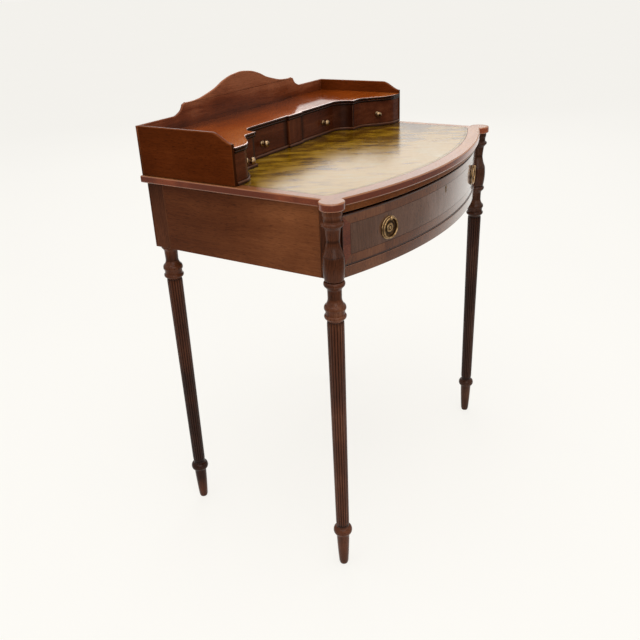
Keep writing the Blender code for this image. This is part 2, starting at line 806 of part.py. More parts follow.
def build_long_drawer(root):
    """The bowed long drawer with its lock, keyhole, escutcheon and two ring pulls."""
    slide = new_empty("long_drawer_slide", (0.0, 0.0, DRAWER_BOTTOM_Z), root)
    slide_z = -DRAWER_BOTTOM_Z
    field_bow = BOTTOM_RAIL_BOW - BEAD_PROUD
    front = plate(
        "drawer_front",
        bow_band(DRAWER_HALF, BOTTOM_RAIL_BOW, RAIL_RADIUS, DRAWER_FRONT_THICKNESS),
        0.0,
        DRAWER_FRONT_HEIGHT,
        MAHOGANY_DARK,
        slide,
    )
    field = plate(
        "drawer_field",
        bow_band(
            DRAWER_HALF - BEAD_WIDTH,
            BOTTOM_RAIL_BOW + OVERRUN,
            RAIL_RADIUS + OVERRUN,
            OVERRUN + BEAD_PROUD,
        ),
        BEAD_WIDTH,
        DRAWER_FRONT_HEIGHT - 2 * BEAD_WIDTH,
        MAHOGANY,
        slide,
    )
    combine(front, field, "DIFFERENCE")

    key_z = DRAWER_FRONT_HEIGHT - KEYHOLE_DROP
    slot_half = KEYHOLE_SLOT_WIDTH / 2
    hole = moved(keyhole(KEYHOLE_RADIUS, slot_half, KEYHOLE_LENGTH, 0.0), 0.0, key_z)
    socket = moved(
        keyhole(KEYHOLE_RADIUS, slot_half, KEYHOLE_LENGTH, ESCUTCHEON_RIM + GAP), 0.0, key_z
    )
    rim = moved(
        keyhole(KEYHOLE_RADIUS, slot_half, KEYHOLE_LENGTH, ESCUTCHEON_RIM), 0.0, key_z
    )
    face_y = -field_bow
    through = upright(
        "keyhole_cut",
        hole,
        face_y - OVERRUN,
        DRAWER_FRONT_THICKNESS + 2 * OVERRUN,
        MAHOGANY,
        slide,
    )
    seat = upright(
        "escutcheon_seat", socket, face_y - OVERRUN, ESCUTCHEON_DEPTH + OVERRUN, MAHOGANY, slide
    )
    combine(front, through, "DIFFERENCE")
    combine(front, seat, "DIFFERENCE")
    escutcheon = upright("escutcheon", rim, face_y, ESCUTCHEON_DEPTH - GAP, BRASS, slide)
    combine(escutcheon, through, "DIFFERENCE")

    inner_bow = BOTTOM_RAIL_BOW - DRAWER_FRONT_THICKNESS
    inner_radius = RAIL_RADIUS - DRAWER_FRONT_THICKNESS

    def inner_face(x):
        return bow_y(x, inner_bow, inner_radius)

    lock_y = inner_face(LOCK_WIDTH / 2) + GAP
    lock = board(
        "drawer_lock",
        (-LOCK_WIDTH / 2, lock_y, DRAWER_FRONT_HEIGHT - DRAWER_SIDE_DROP - LOCK_HEIGHT),
        (LOCK_WIDTH / 2, lock_y + LOCK_DEPTH, DRAWER_FRONT_HEIGHT - DRAWER_SIDE_DROP),
        BRASS,
        slide,
        LOCK_ARRIS,
    )
    lock_hole = upright(
        "lock_keyhole", hole, lock_y - OVERRUN, OVERRUN + LOCK_DEPTH / 2, BRASS, slide
    )
    combine(lock, lock_hole, "DIFFERENCE")

    box_drawer(
        "drawer",
        slide,
        (-DRAWER_HALF, DRAWER_HALF),
        DRAWER_BACK_Y,
        0.0,
        DRAWER_FRONT_HEIGHT - DRAWER_SIDE_DROP,
        inner_face,
        DRAWER_WALL,
        DRAWER_BOTTOM_THICKNESS,
        DRAWER_BOTTOM_RISE,
        DRAWER_GROOVE,
    )

    pull_z = DRAWER_FRONT_HEIGHT - PULL_BELOW_TOP
    splay = math.asin(PULL_X / (RAIL_RADIUS - BEAD_PROUD))
    for side, hand in ((-1, "left"), (1, "right")):
        outward = Vector((side * math.sin(splay), -math.cos(splay), 0.0))
        face = Vector(
            (side * PULL_X, bow_y(PULL_X, field_bow, RAIL_RADIUS - BEAD_PROUD), pull_z)
        )
        build_pull(hand, slide, face, outward)


def build_pull(hand, slide, face, outward):
    """A turned backplate with a post, and the ring that hangs in the post."""
    # The plate's own Z points outward and its own Y up.
    turn = Matrix(
        (
            (-outward.y, 0.0, outward.x),
            (outward.x, 0.0, outward.y),
            (0.0, 1.0, 0.0),
        )
    ).to_euler()
    seat = face + outward * GAP
    plate_profile = [(r * PLATE_RADIUS, h * PLATE_HEIGHT) for r, h in PLATE_SHARES]
    back = turned(
        f"pull_plate_{hand}", plate_profile, PLATE_SEGMENTS, BRASS, slide, seat, turn
    )
    post_height = 2 * (RING_STAND_OFF - POST_ROOT)
    post_profile = [(r * POST_RADIUS, h * post_height) for r, h in POST_SHARES]
    post_seat = seat + outward * POST_ROOT + Vector((0.0, 0.0, RING_RADIUS))
    post = turned(
        f"pull_post_{hand}", post_profile, KNOB_SEGMENTS, BRASS, slide, post_seat, turn
    )
    pivot = seat + outward * RING_STAND_OFF + Vector((0.0, 0.0, RING_RADIUS))
    sag = POST_RADIUS**2 / (2 * RING_RADIUS)
    bore_radius = RING_WIRE_RADIUS + sag + GAP
    half_bore = POST_RADIUS + OVERRUN
    bore = turned(
        f"pull_bore_{hand}",
        [(0.0, half_bore), (bore_radius, half_bore), (bore_radius, -half_bore), (0.0, -half_bore)],
        KNOB_SEGMENTS,
        BRASS,
        slide,
        pivot,
        Vector((-outward.y, outward.x, 0.0)).to_track_quat("Z", "Y").to_euler(),
    )
    combine(back, post, "UNION")
    combine(back, bore, "DIFFERENCE")

    hinge = new_empty(f"pull_hinge_{hand}", pivot, slide)
    bpy.ops.mesh.primitive_torus_add(
        major_radius=RING_RADIUS,
        minor_radius=RING_WIRE_RADIUS,
        major_segments=RING_SEGMENTS,
        minor_segments=WIRE_SEGMENTS,
    )
    made = bpy.context.active_object
    mesh = made.data
    bpy.data.objects.remove(made, do_unlink=True)
    mesh.transform(
        Matrix.Translation((0.0, 0.0, -RING_RADIUS)) @ Matrix.Rotation(math.radians(90), 4, "X")
    )
    mesh.shade_smooth()
    ring = new_piece(f"pull_ring_{hand}", mesh, BRASS, hinge)
    ring.rotation_euler = (0.0, 0.0, math.atan2(outward.x, -outward.y))


def cove_points(proud):
    """The hollow end of an inner drawer's front, from the middle outward."""
    radius = COVE_RADIUS - proud
    centre_x = PARTITION_X - GAP - COVE_RADIUS
    centre_y = INNER_FACE_Y - COVE_RADIUS
    turns = [math.pi / 2 * i / COVE_STEPS for i in range(COVE_STEPS + 1)]
    return [
        (centre_x + radius * math.sin(turn), centre_y + radius * math.cos(turn))
        for turn in turns
    ]


def sweep_points(proud):
    """The serpentine face of an outer drawer, from its inner end to the gallery side."""
    points = []
    for i in range(SWEEP_STEPS + 1):
        part = i / SWEEP_STEPS
        ease = part * part * (3 - 2 * part)
        # A moulding that stands proud of the sweep also moves sideways along it.
        x = SWEEP_START_X + (SWEEP_END_X - SWEEP_START_X) * part - proud * math.sin(math.pi * part)
        y = OUTER_FACE_BACK_Y + (OUTER_FACE_FRONT_Y - OUTER_FACE_BACK_Y) * ease - proud
        points.append((x, y))
    return points


def front_line(proud):
    """The plan line of the superstructure's front, from the middle to the right side."""
    pilaster_y = INNER_FACE_Y - PILASTER_PROUD - proud
    pilaster_x = PILASTER_HALF_WIDTH + proud
    cove = cove_points(proud)
    return (
        [(0.0, pilaster_y), (pilaster_x, pilaster_y), (pilaster_x, INNER_FACE_Y - proud)]
        + cove
        + [(cove[-1][0], OUTER_FACE_BACK_Y - proud)]
        + sweep_points(proud)
        + [(CELL_END_X, OUTER_FACE_FRONT_Y - proud)]
    )


def build_gallery(root):
    """The shaped back and the two side boards with their ogee ends."""
    low, side_top = BASE_BOTTOM, SURFACE_HEIGHT + GALLERY_SIDE_TOP
    step_z = side_top + GALLERY_STEP_RISE
    peak_z = SURFACE_HEIGHT + GALLERY_PEAK
    hollow = [
        (
            GALLERY_SHOULDER_X + (GALLERY_STEP_X - GALLERY_SHOULDER_X) * along,
            side_top + GALLERY_STEP_RISE * rise,
        )
        for along, rise in STEP_SHARES
    ]
    crest = [
        (GALLERY_STEP_X * along, step_z + (peak_z - step_z) * rise)
        for along, rise in CREST_SHARES
    ]
    right = [(0.0, low), (GALLERY_HALF_WIDTH, low), (GALLERY_HALF_WIDTH, side_top)]
    upright(
        "gallery_back",
        mirrored(right + hollow + crest),
        GALLERY_BACK_FRONT_Y,
        GALLERY_BACK_THICKNESS,
        MAHOGANY,
        root,
        GALLERY_ARRIS,
    )
    back_y = GALLERY_BACK_FRONT_Y - GAP
    ogee = []
    for i in range(OGEE_STEPS + 1):
        part = i / OGEE_STEPS
        ease = part * part * (3 - 2 * part)
        ogee.append(
            (
                GALLERY_SIDE_FRONT + GALLERY_OGEE_LENGTH * part,
                side_top - GALLERY_OGEE_DROP * (1 - ease),
            )
        )
    outline = [(GALLERY_SIDE_FRONT, low)] + ogee + [(back_y, side_top), (back_y, low)]
    for side, hand in ((-1, "left"), (1, "right")):
        mesh = outline_mesh(outline, GALLERY_THICKNESS, GALLERY_ARRIS)
        mesh.transform(
            Matrix.Rotation(math.radians(90), 4, "Z") @ Matrix.Rotation(math.radians(90), 4, "X")
        )
        new_piece(
            f"gallery_side_{hand}",
            mesh,
            MAHOGANY,
            root,
            (side * (GALLERY_HALF_WIDTH - GALLERY_THICKNESS / 2), 0.0, 0.0),
        )


def moulded(name, edge, bottom, back, material, parent):
    """A board over the drawers whose front edge is moulded: (height, proud) levels of the
    edge from the bottom up."""
    shape = bmesh.new()
    rings = []
    for height, proud in edge:
        outline = mirrored(front_line(proud) + [(CELL_END_X, back)])
        rings.append([shape.verts.new((x, y, bottom + height)) for x, y in outline])
    count = len(rings[0])
    for lower, upper in zip(rings, rings[1:]):
        for i in range(count):
            j = (i + 1) % count
            shape.faces.new((lower[i], lower[j], upper[j], upper[i]))
    shape.faces.new(rings[0][::-1])
    shape.faces.new(rings[-1])
    bmesh.ops.recalc_face_normals(shape, faces=shape.faces)
    mesh = bpy.data.meshes.new(name)
    shape.to_mesh(mesh)
    shape.free()
    return new_piece(name, mesh, material, parent)


def build_superstructure(root):
    """Base, partitions, pilaster and deck."""
    back = GALLERY_BACK_FRONT_Y - GAP
    moulded(
        "superstructure_base",
        [(height * BASE_THICKNESS, proud * BASE_PROUD) for height, proud in BASE_EDGE_SHARES],
        BASE_BOTTOM,
        back,
        MAHOGANY_DARK,
        root,
    )
    bead_edge = [
        (height * DECK_BEAD, proud * DECK_BEAD_PROUD) for height, proud in BEAD_EDGE_SHARES
    ]
    cap_edge = [
        (DECK_BEAD + height * DECK_CAP, proud * DECK_CAP_PROUD)
        for height, proud in CAP_EDGE_SHARES
    ]
    moulded("deck", bead_edge + cap_edge, DECK_BOTTOM, back, MAHOGANY_LIGHT, root)

    low_z, high_z = BASE_TOP + GAP, DECK_BOTTOM - GAP
    pilaster_front = INNER_FACE_Y - PILASTER_PROUD
    pilaster_back = pilaster_front + PILASTER_THICKNESS
    board(
        "pilaster",
        (-PILASTER_HALF_WIDTH, pilaster_front, low_z),
        (PILASTER_HALF_WIDTH, pilaster_back, high_z),
        MAHOGANY_DARK,
        root,
    )
    for side, hand in ((-1, "left"), (1, "right")):
        low_x, high_x = sorted(
            (side * (PILASTER_HALF_WIDTH - PARTITION_THICKNESS), side * PILASTER_HALF_WIDTH)
        )
        board(
            f"partition_center_{hand}",
            (low_x, pilaster_back + GAP, low_z),
            (high_x, back, high_z),
            MAHOGANY_DARK,
            root,
        )
        low_x, high_x = sorted((side * PARTITION_X, side * OUTER_CELL_X))
        board(
            f"partition_{hand}",
            (low_x, OUTER_FACE_BACK_Y, low_z),
            (high_x, back, high_z),
            MAHOGANY_DARK,
            root,
        )


def line_value(points, x):
    """Y of a line of points at an X, by straight steps, held at its ends."""
    for (x0, y0), (x1, y1) in zip(points, points[1:]):
        if x0 <= x <= x1 and x1 > x0:
            return y0 + (y1 - y0) * (x - x0) / (x1 - x0)
    return points[0][1] if x < points[0][0] else points[-1][1]


def build_small_drawers(root):
    """Four small drawers with brass knobs: the inner pair with a hollow end to its front,
    the outer pair serpentine."""
    inner_low = PILASTER_HALF_WIDTH + SMALL_PLAY
    inner_high = PARTITION_X - SMALL_PLAY
    outer_low = OUTER_CELL_X + SMALL_PLAY
    outer_high = CELL_END_X + GAP - SMALL_PLAY
    inner_back = INNER_FACE_Y + SMALL_FRONT_THICKNESS
    cove = [(x, y) for x, y in cove_points(0.0) if x < inner_high]
    inner_front = (
        [(inner_low, INNER_FACE_Y)]
        + cove
        + [(inner_high, INNER_FACE_Y - COVE_RADIUS)]
        + [(inner_high, inner_back), (inner_low, inner_back)]
    )
    face = (
        [(outer_low, OUTER_FACE_BACK_Y)]
        + sweep_points(0.0)
        + [(outer_high, OUTER_FACE_FRONT_Y)]
    )
    behind = moved(face, 0.0, SMALL_FRONT_THICKNESS)
    outer_front = face + behind[::-1]
    face_slope = (
        line_value(face, OUTER_KNOB_X + KNOB_RADIUS) - line_value(face, OUTER_KNOB_X - KNOB_RADIUS)
    ) / (2 * KNOB_RADIUS)
    outer_turn = math.atan(face_slope)

    kinds = (
        (
            "inner",
            inner_front,
            (inner_low, inner_high),
            [(inner_low, inner_back), (inner_high, inner_back)],
            (INNER_KNOB_X, INNER_FACE_Y),
            0.0,
        ),
        (
            "outer",
            outer_front,
            (outer_low, outer_high),
            behind,
            (OUTER_KNOB_X, line_value(face, OUTER_KNOB_X)),
            outer_turn,
        ),
    )
    knob_profile = [(r * KNOB_RADIUS, h * KNOB_LENGTH) for r, h in KNOB_SHARES]
    for kind, front, ends, back_line, knob_at, turn in kinds:
        for side, hand in ((-1, "left"), (1, "right")):
            name = f"{kind}_drawer_{hand}"
            slide = new_empty(name + "_slide", (0.0, 0.0, SMALL_BOTTOM_Z), root)
            plate(
                name + "_front",
                [(side * x, y) for x, y in front],
                0.0,
                SMALL_TOP_Z - SMALL_BOTTOM_Z,
                MAHOGANY_DARK,
                slide,
            )
            box_drawer(
                name,
                slide,
                tuple(sorted(side * x for x in ends)),
                SMALL_BACK_Y,
                0.0,
                SMALL_TOP_Z - SMALL_BOTTOM_Z - SMALL_SIDE_DROP,
                lambda x: line_value(back_line, abs(x)),
                SMALL_WALL,
                SMALL_BOTTOM_THICKNESS,
                SMALL_BOTTOM_RISE,
                SMALL_GROOVE,
            )
            knob_x, knob_y = knob_at
            outward = Vector((side * math.sin(turn), -math.cos(turn), 0.0))
            foot = Vector(
                (side * knob_x, knob_y, SMALL_TOP_Z - KNOB_BELOW_TOP - SMALL_BOTTOM_Z)
            )
            turned(
                name + "_knob",
                knob_profile,
                KNOB_SEGMENTS,
                BRASS,
                slide,
                foot + outward * GAP,
                outward.to_track_quat("Z", "Y").to_euler(),
            )


def shade_pieces():
    """Shade the round pieces smooth, with sharp arrises."""
    for obj in PARTS.objects:
        if obj.type == "MESH":
            obj.data.shade_smooth()
            obj.data.set_sharp_from_angle(angle=math.radians(30))


desk = new_empty("desk_origin", (0.0, LEG_LINE_Y, 0.0))
build_top(desk)
build_legs(desk)
build_frame(desk)
build_long_drawer(desk)
build_gallery(desk)
build_superstructure(desk)
build_small_drawers(desk)
shade_pieces()
bpy.context.view_layer.update()
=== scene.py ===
"""Dresses a bow-fronted mahogany writing table with a low drawer superstructure: turned and
reeded legs, a leather-lined top, a cock-beaded long drawer with ring pulls, four small
drawers with brass knobs and a shaped gallery. Lengths are in metres, and the desk's own
frame has its front leg line at Y = 0, X to its right and Z up from the floor."""

import logging
import math
from dataclasses import dataclass
from enum import Enum
from typing import Any, Sequence

import bmesh
import bpy
from mathutils import Matrix, Vector
from mathutils.geometry import tessellate_polygon


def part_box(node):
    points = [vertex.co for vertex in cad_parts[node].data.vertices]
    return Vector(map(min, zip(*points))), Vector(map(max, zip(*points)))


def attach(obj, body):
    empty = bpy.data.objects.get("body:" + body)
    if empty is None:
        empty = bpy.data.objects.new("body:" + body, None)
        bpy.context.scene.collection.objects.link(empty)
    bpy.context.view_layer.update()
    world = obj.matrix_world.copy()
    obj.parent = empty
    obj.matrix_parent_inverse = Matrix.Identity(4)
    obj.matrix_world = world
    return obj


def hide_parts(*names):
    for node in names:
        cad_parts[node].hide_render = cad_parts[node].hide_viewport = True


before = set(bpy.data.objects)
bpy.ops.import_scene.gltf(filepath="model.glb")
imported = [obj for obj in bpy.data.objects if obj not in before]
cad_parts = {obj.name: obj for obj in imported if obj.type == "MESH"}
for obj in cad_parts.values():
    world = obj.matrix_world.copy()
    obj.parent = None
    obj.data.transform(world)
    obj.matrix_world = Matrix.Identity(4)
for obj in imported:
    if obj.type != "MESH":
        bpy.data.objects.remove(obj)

Point = tuple[float, float]
Rows = tuple[tuple[str, float, float, float], ...]
LOG = logging.getLogger("escritoire")


# ------------------------------------------------------------------ shared sizes


@dataclass(frozen=True)
class Bow:
    """A bowed plan line: how far its middle stands before the leg line, and its radius."""

    bow: float
    radius: float

    def y(self, x: float) -> float:
        """Y of the line at an X."""
        return self.radius - self.bow - math.sqrt(self.radius**2 - x**2)

    def inside(self, by: float) -> "Bow":
        """The line parallel to this one, nearer the back."""
        return Bow(self.bow - by, self.radius - by)

    def points(self, half: float, steps: int = 72) -> list[Point]:
        """Points along the line from one side to the other.

        Args:
            half: X of the right end.
            steps: number of straight steps.

        Returns:
            (x, y) points from left to right.
        """
        return [(x, self.y(x)) for x in (half * (2 * i / steps - 1) for i in range(steps + 1))]


@dataclass(frozen=True)
class DeskSizes:
    """Sizes that more than one sub-assembly reads."""

    gap: float = 0.0003
    surface: float = 0.760
    top_thickness: float = 0.014
    top_half: float = 0.3285
    top_back: float = 0.422
    top_bow: float = 0.073
    top_fall: float = 0.0725
    ear_outset: float = 0.0009
    side_overhang: float = 0.0070
    apron_height: float = 0.1282
    apron_thickness: float = 0.015
    rail_fall: float = 0.0662
    rail_bow: float = 0.0611
    bottom_rail_height: float = 0.0200
    slide_clearance: float = 0.0010
    drawer_front_height: float = 0.0905
    gallery_set_in: float = 0.0035
    gallery_thickness: float = 0.0075
    gallery_back_y: float = 0.415

    @property
    def shift(self) -> Vector:
        """From the desk's own frame to the row frame."""
        return Vector((0.0, (self.top_bow - self.top_back) / 2, 0.0))

    @property
    def leg_x(self) -> float:
        """X of the front legs' axes."""
        return self.top_half + self.ear_outset

    @property
    def apron_x(self) -> float:
        """X of the side aprons' outer faces."""
        return self.top_half - self.side_overhang

    @property
    def frame_top(self) -> float:
        """Top of the frame under the board."""
        return self.surface - self.top_thickness - self.gap

    @property
    def frame_bottom(self) -> float:
        """Lower edge of the aprons and the bottom rail."""
        return self.frame_top - self.apron_height

    @property
    def top_line(self) -> Bow:
        """Front edge of the top board."""
        return Bow(self.top_bow, (self.top_half**2 + self.top_fall**2) / (2 * self.top_fall))

    @property
    def rail_line(self) -> Bow:
        """Front face of the bottom rail and of the cock-bead."""
        return Bow(self.rail_bow, (self.leg_x**2 + self.rail_fall**2) / (2 * self.rail_fall))

    @property
    def drawer_bottom(self) -> float:
        """Lower edge of the long drawer's front."""
        return self.frame_bottom + self.bottom_rail_height + self.slide_clearance

    @property
    def drawer_half(self) -> float:
        """Half of the long drawer's width."""
        return self.apron_x - self.apron_thickness - self.slide_clearance


DESK = DeskSizes()
HANDS = ((-1, "left"), (1, "right"))


# ------------------------------------------------------------------ node helper and colours


def linear(hex_colour: str) -> tuple[float, float, float, float]:
    """Turns an sRGB hex colour linear.

    Args:
        hex_colour: such as "#5a2a14".

    Returns:
        Linear red, green, blue and an alpha of 1.
    """
    parts = [int(hex_colour[i : i + 2], 16) / 255 for i in (1, 3, 5)]
    lin = [c / 12.92 if c <= 0.04045 else ((c + 0.055) / 1.055) ** 2.4 for c in parts]
    return (lin[0], lin[1], lin[2], 1.0)


def wire(tree: bpy.types.NodeTree, node: Any, inputs: dict) -> None:
    """Gives a node's inputs their values and links.

    Args:
        tree: the node tree.
        node: the node.
        inputs: values, sockets or nodes by input name or number. A node gives its first
            output in use.
    """
    for key, value in inputs.items():
        if isinstance(key, int):
            socket = node.inputs[key]
        else:
            socket = next(s for s in node.inputs if s.name == key and s.enabled)
        if isinstance(value, bpy.types.Node):
            value = next(s for s in value.outputs if s.enabled)
        if isinstance(value, bpy.types.NodeSocket):
            tree.links.new(value, socket)
        else:
            socket.default_value = value


def add(tree: bpy.types.NodeTree, kind: str, inputs: dict | None = None, **settings: Any) -> Any:
    """Adds a node with its settings and links.

    Args:
        tree: the node tree.
        kind: the node's type name.
        inputs: its inputs, as for wire.
        **settings: properties of the node.

    Returns:
        The new node.
    """
    made = tree.nodes.new(kind)
    for name, value in settings.items():
        setattr(made, name, value)
    wire(tree, made, inputs or {})
    return made


class Surface:
    """A finish in the making: its material, its node tree and its object coordinates."""

    def __init__(self, name: str) -> None:
        """Starts the finish.

        Args:
            name: name of the material.
        """
        self.material = bpy.data.materials.new(name)
        self.material.use_nodes = True
        self.tree = self.material.node_tree
        self.place = self.node("TexCoord").outputs["Object"]

    def node(self, kind: str, inputs: dict | None = None, **settings: Any) -> Any:
        """Adds a shader node of this kind."""
        return add(self.tree, "ShaderNode" + kind, inputs, **settings)

    def math(self, operation: str, *values: Any) -> Any:
        """Adds a maths node on these values."""
        return self.node("Math", dict(enumerate(values)), operation=operation)

    def shifted(self, tone: Any, value: Any, middle: float, weight: float) -> Any:
        """Adds to a tone what a value has over its middle, times a weight."""
        return self.math("MULTIPLY_ADD", self.math("SUBTRACT", value, middle), weight, tone)

    def axis(self, name: str) -> Any:
        """The object coordinate along X, Y or Z."""
        return self.node("SeparateXYZ", {0: self.place}).outputs[name]

    def stored(self, name: str) -> Any:
        """The value that the mesh stores under this name."""
        return self.node("Attribute", attribute_name=name).outputs["Fac"]

    def noise(self, vector: Any, scale: float, detail: float, rough: float = 0.5) -> Any:
        """Adds noise of this many cycles to the metre."""
        inputs = {"Vector": vector, "Scale": scale, "Detail": detail, "Roughness": rough}
        return self.node("TexNoise", inputs)

    def streaks(
        self, vector: Any, scale: tuple[float, float, float], detail: float, rough: float = 0.5
    ) -> Any:
        """Adds noise with its own cycles to the metre along X, Y and Z."""
        drawn = self.node("Mapping", {"Vector": vector, "Scale": scale})
        return self.noise(drawn, 1.0, detail, rough)

    def spread(self, value: Any, low: float, high: float) -> Any:
        """Adds a node that lays 0 to 1 out from low to high."""
        return self.node("MapRange", {"Value": value, "To Min": low, "To Max": high})

    def blend(self, share: Any, first: Any, second: Any, how: str = "MIX") -> Any:
        """Adds a mix of two colours, the second of which may be a hex colour."""
        second = linear(second) if isinstance(second, str) else second
        return self.node(
            "Mix", {"Factor": share, "A": first, "B": second}, data_type="RGBA", blend_type=how
        )

    def bump(
        self, height: Any, strength: float, distance: float, over: Any = None, **settings: Any
    ) -> Any:
        """Adds a relief, over another one where that is given."""
        below = {} if over is None else {"Normal": over}
        inputs = {"Strength": strength, "Distance": distance, "Height": height, **below}
        return self.node("Bump", inputs, **settings)

    def ramp(self, factor: Any, stops: Sequence[tuple[float, Any]]) -> Any:
        """Adds a colour ramp.

        Args:
            factor: node or socket that drives it.
            stops: (place, hex colour or grey level) pairs from low to high.

        Returns:
            The ramp node.
        """
        made = self.node("ValToRGB", {"Fac": factor})
        elements = made.color_ramp.elements
        while len(elements) < len(stops):
            elements.new(0.5)
        for element, (place, colour) in zip(elements, stops):
            element.position = place
            grey = not isinstance(colour, str)
            element.color = (colour, colour, colour, 1.0) if grey else linear(colour)
        return made

    def finish(self, inputs: dict) -> bpy.types.Material:
        """Gives the shader its inputs, and returns the material."""
        wire(self.tree, self.tree.nodes["Principled BSDF"], inputs)
        return self.material


class Grain(Enum):
    """Which way a piece's grain runs, as the turn that lays that way along X."""

    ALONG_X = (0.0, 0.0, 0.0)
    ALONG_Y = (0.0, 0.0, -math.pi / 2)
    ALONG_Z = (0.0, math.pi / 2, 0.0)


class Figure(Enum):
    """Figure of the veneer, as (width of its ribbons in mm, how strong they are)."""

    PLAIN = (26.0, 0.25)
    RIBBON = (13.0, 0.55)


# ------------------------------------------------------------------ finishes


@dataclass(frozen=True)
class Mahogany:
    """French-polished mahogany: a clear, rubbed shellac skin over red-brown wood with long
    fibres, short dark pores and a ribbon figure. Its arrises are lighter, partly from rubbing and
    partly as a painted highlight; its hollows, grooves and corners are darkened as painted shade;
    and its tone may slope along one axis as painted light and shade."""

    name: str
    dark: str
    middle: str
    light: str
    grain: Grain = Grain.ALONG_X
    figure: Figure = Figure.PLAIN
    roughness: float = 0.26
    specular: float = 0.35
    patch_mm: float = 0.0
    patch_share: float = 0.15
    # Arris colour and share: partly rubbing, partly a painted highlight.
    rubbed_and_lit: str = "#8a4f26"
    wear_and_highlight: float = 0.35
    streak: float = 0.34
    clouds: float = 0.50
    # Painted light and shade: tone gained per metre along an axis, where none is, and the axis.
    painted_light_slope: tuple[float, float, str] = (0.0, 0.0, "Y")
    # Painted shade in hollows, grooves and corners: its share, and its colour below.
    hollow_shade_share: float = 0.75
    hollow_shade: str = "#160703"
    coat: float = 0.0
    pore_depth: float = 0.16
    seed: float = 0.0

    def material(self) -> bpy.types.Material:
        """Builds the material.

        Returns:
            The material, on object coordinates.
        """
        made = Surface(self.name)
        laid = made.node(
            "Mapping",
            {"Vector": made.place, "Location": (self.seed,) * 3, "Rotation": self.grain.value},
        )
        # The log's slow wander: the fibres drift about 8 mm to a side over a hand's length.
        drift = made.noise(laid, 5.0, 2.0).outputs["Color"]
        off = made.node("VectorMath", {0: drift, 1: (0.5, 0.5, 0.5)}, operation="SUBTRACT")
        drifted = made.node(
            "VectorMath", {0: off, 1: (0.0, 0.030, 0.030), 2: laid}, operation="MULTIPLY_ADD"
        )
        width, strength = self.figure.value
        across = 1000.0 / width
        # Ribbons of even width, 0.3 m long; fibres 1.6 mm wide, drawn coarser than real ones
        # so that they show; pores 0.6 mm wide and 12 mm long.
        ribbon = made.streaks(drifted, (3.0, across, across), 2.0)
        fibre = made.streaks(drifted, (12.0, 620.0, 620.0), 3.0)
        pore = made.streaks(drifted, (80.0, 1600.0, 1600.0), 1.0)
        cloud = made.noise(made.place, 7.0, 3.0)
        tone = made.math("MULTIPLY_ADD", ribbon, strength, 0.5 - strength / 2)
        tone = made.shifted(tone, fibre, 0.5, self.streak)
        tone = made.shifted(tone, cloud, 0.5, self.clouds)
        if self.patch_mm:
            # The tone differs from one short piece of banding veneer to the next.
            run = made.axis("Z" if self.grain is Grain.ALONG_X else "X")
            cell = made.math("SNAP", run, self.patch_mm / 1000.0)
            shade = made.node("TexWhiteNoise", {"W": cell}, noise_dimensions="1D")
            tone = made.shifted(tone, shade.outputs["Value"], 0.5, self.patch_share)
        # Painted light and shade across the piece: the tone gained per metre along an axis, and
        # where on that axis none is.
        slope, middle, axis = self.painted_light_slope
        tone = made.shifted(tone, made.axis(axis), middle, slope)
        colour = made.ramp(tone, ((0.22, self.dark), (0.5, self.middle), (0.80, self.light)))
        colour = made.blend(1.0, colour, made.ramp(pore, ((0.30, 0.45), (0.42, 1.0))), "MULTIPLY")
        # Arrises are lightened for rubbing and a painted highlight.
        rubbed = made.math("MULTIPLY", made.stored("arris"), self.wear_and_highlight)
        colour = made.blend(rubbed, colour, self.rubbed_and_lit)
        # Hollows, grooves and corners are darkened as painted shade.
        sunk = made.math("MULTIPLY", made.stored("hollow"), self.hollow_shade_share)
        # Shellac sinks into the pores and lies a little unevenly, as a hand-rubbed skin does.
        lie = made.bump(made.noise(made.place, 38.0, 2.0), 0.03, 0.0020)
        return made.finish({
            "Base Color": made.blend(sunk, colour, self.hollow_shade),
            "Roughness": made.spread(cloud, self.roughness - 0.06, self.roughness + 0.08),
            "Specular IOR Level": self.specular,
            "IOR": 1.5,
            "Coat Weight": self.coat,
            "Coat Roughness": 0.10,
            "Normal": made.bump(pore, self.pore_depth, 0.0002, lie),
        })


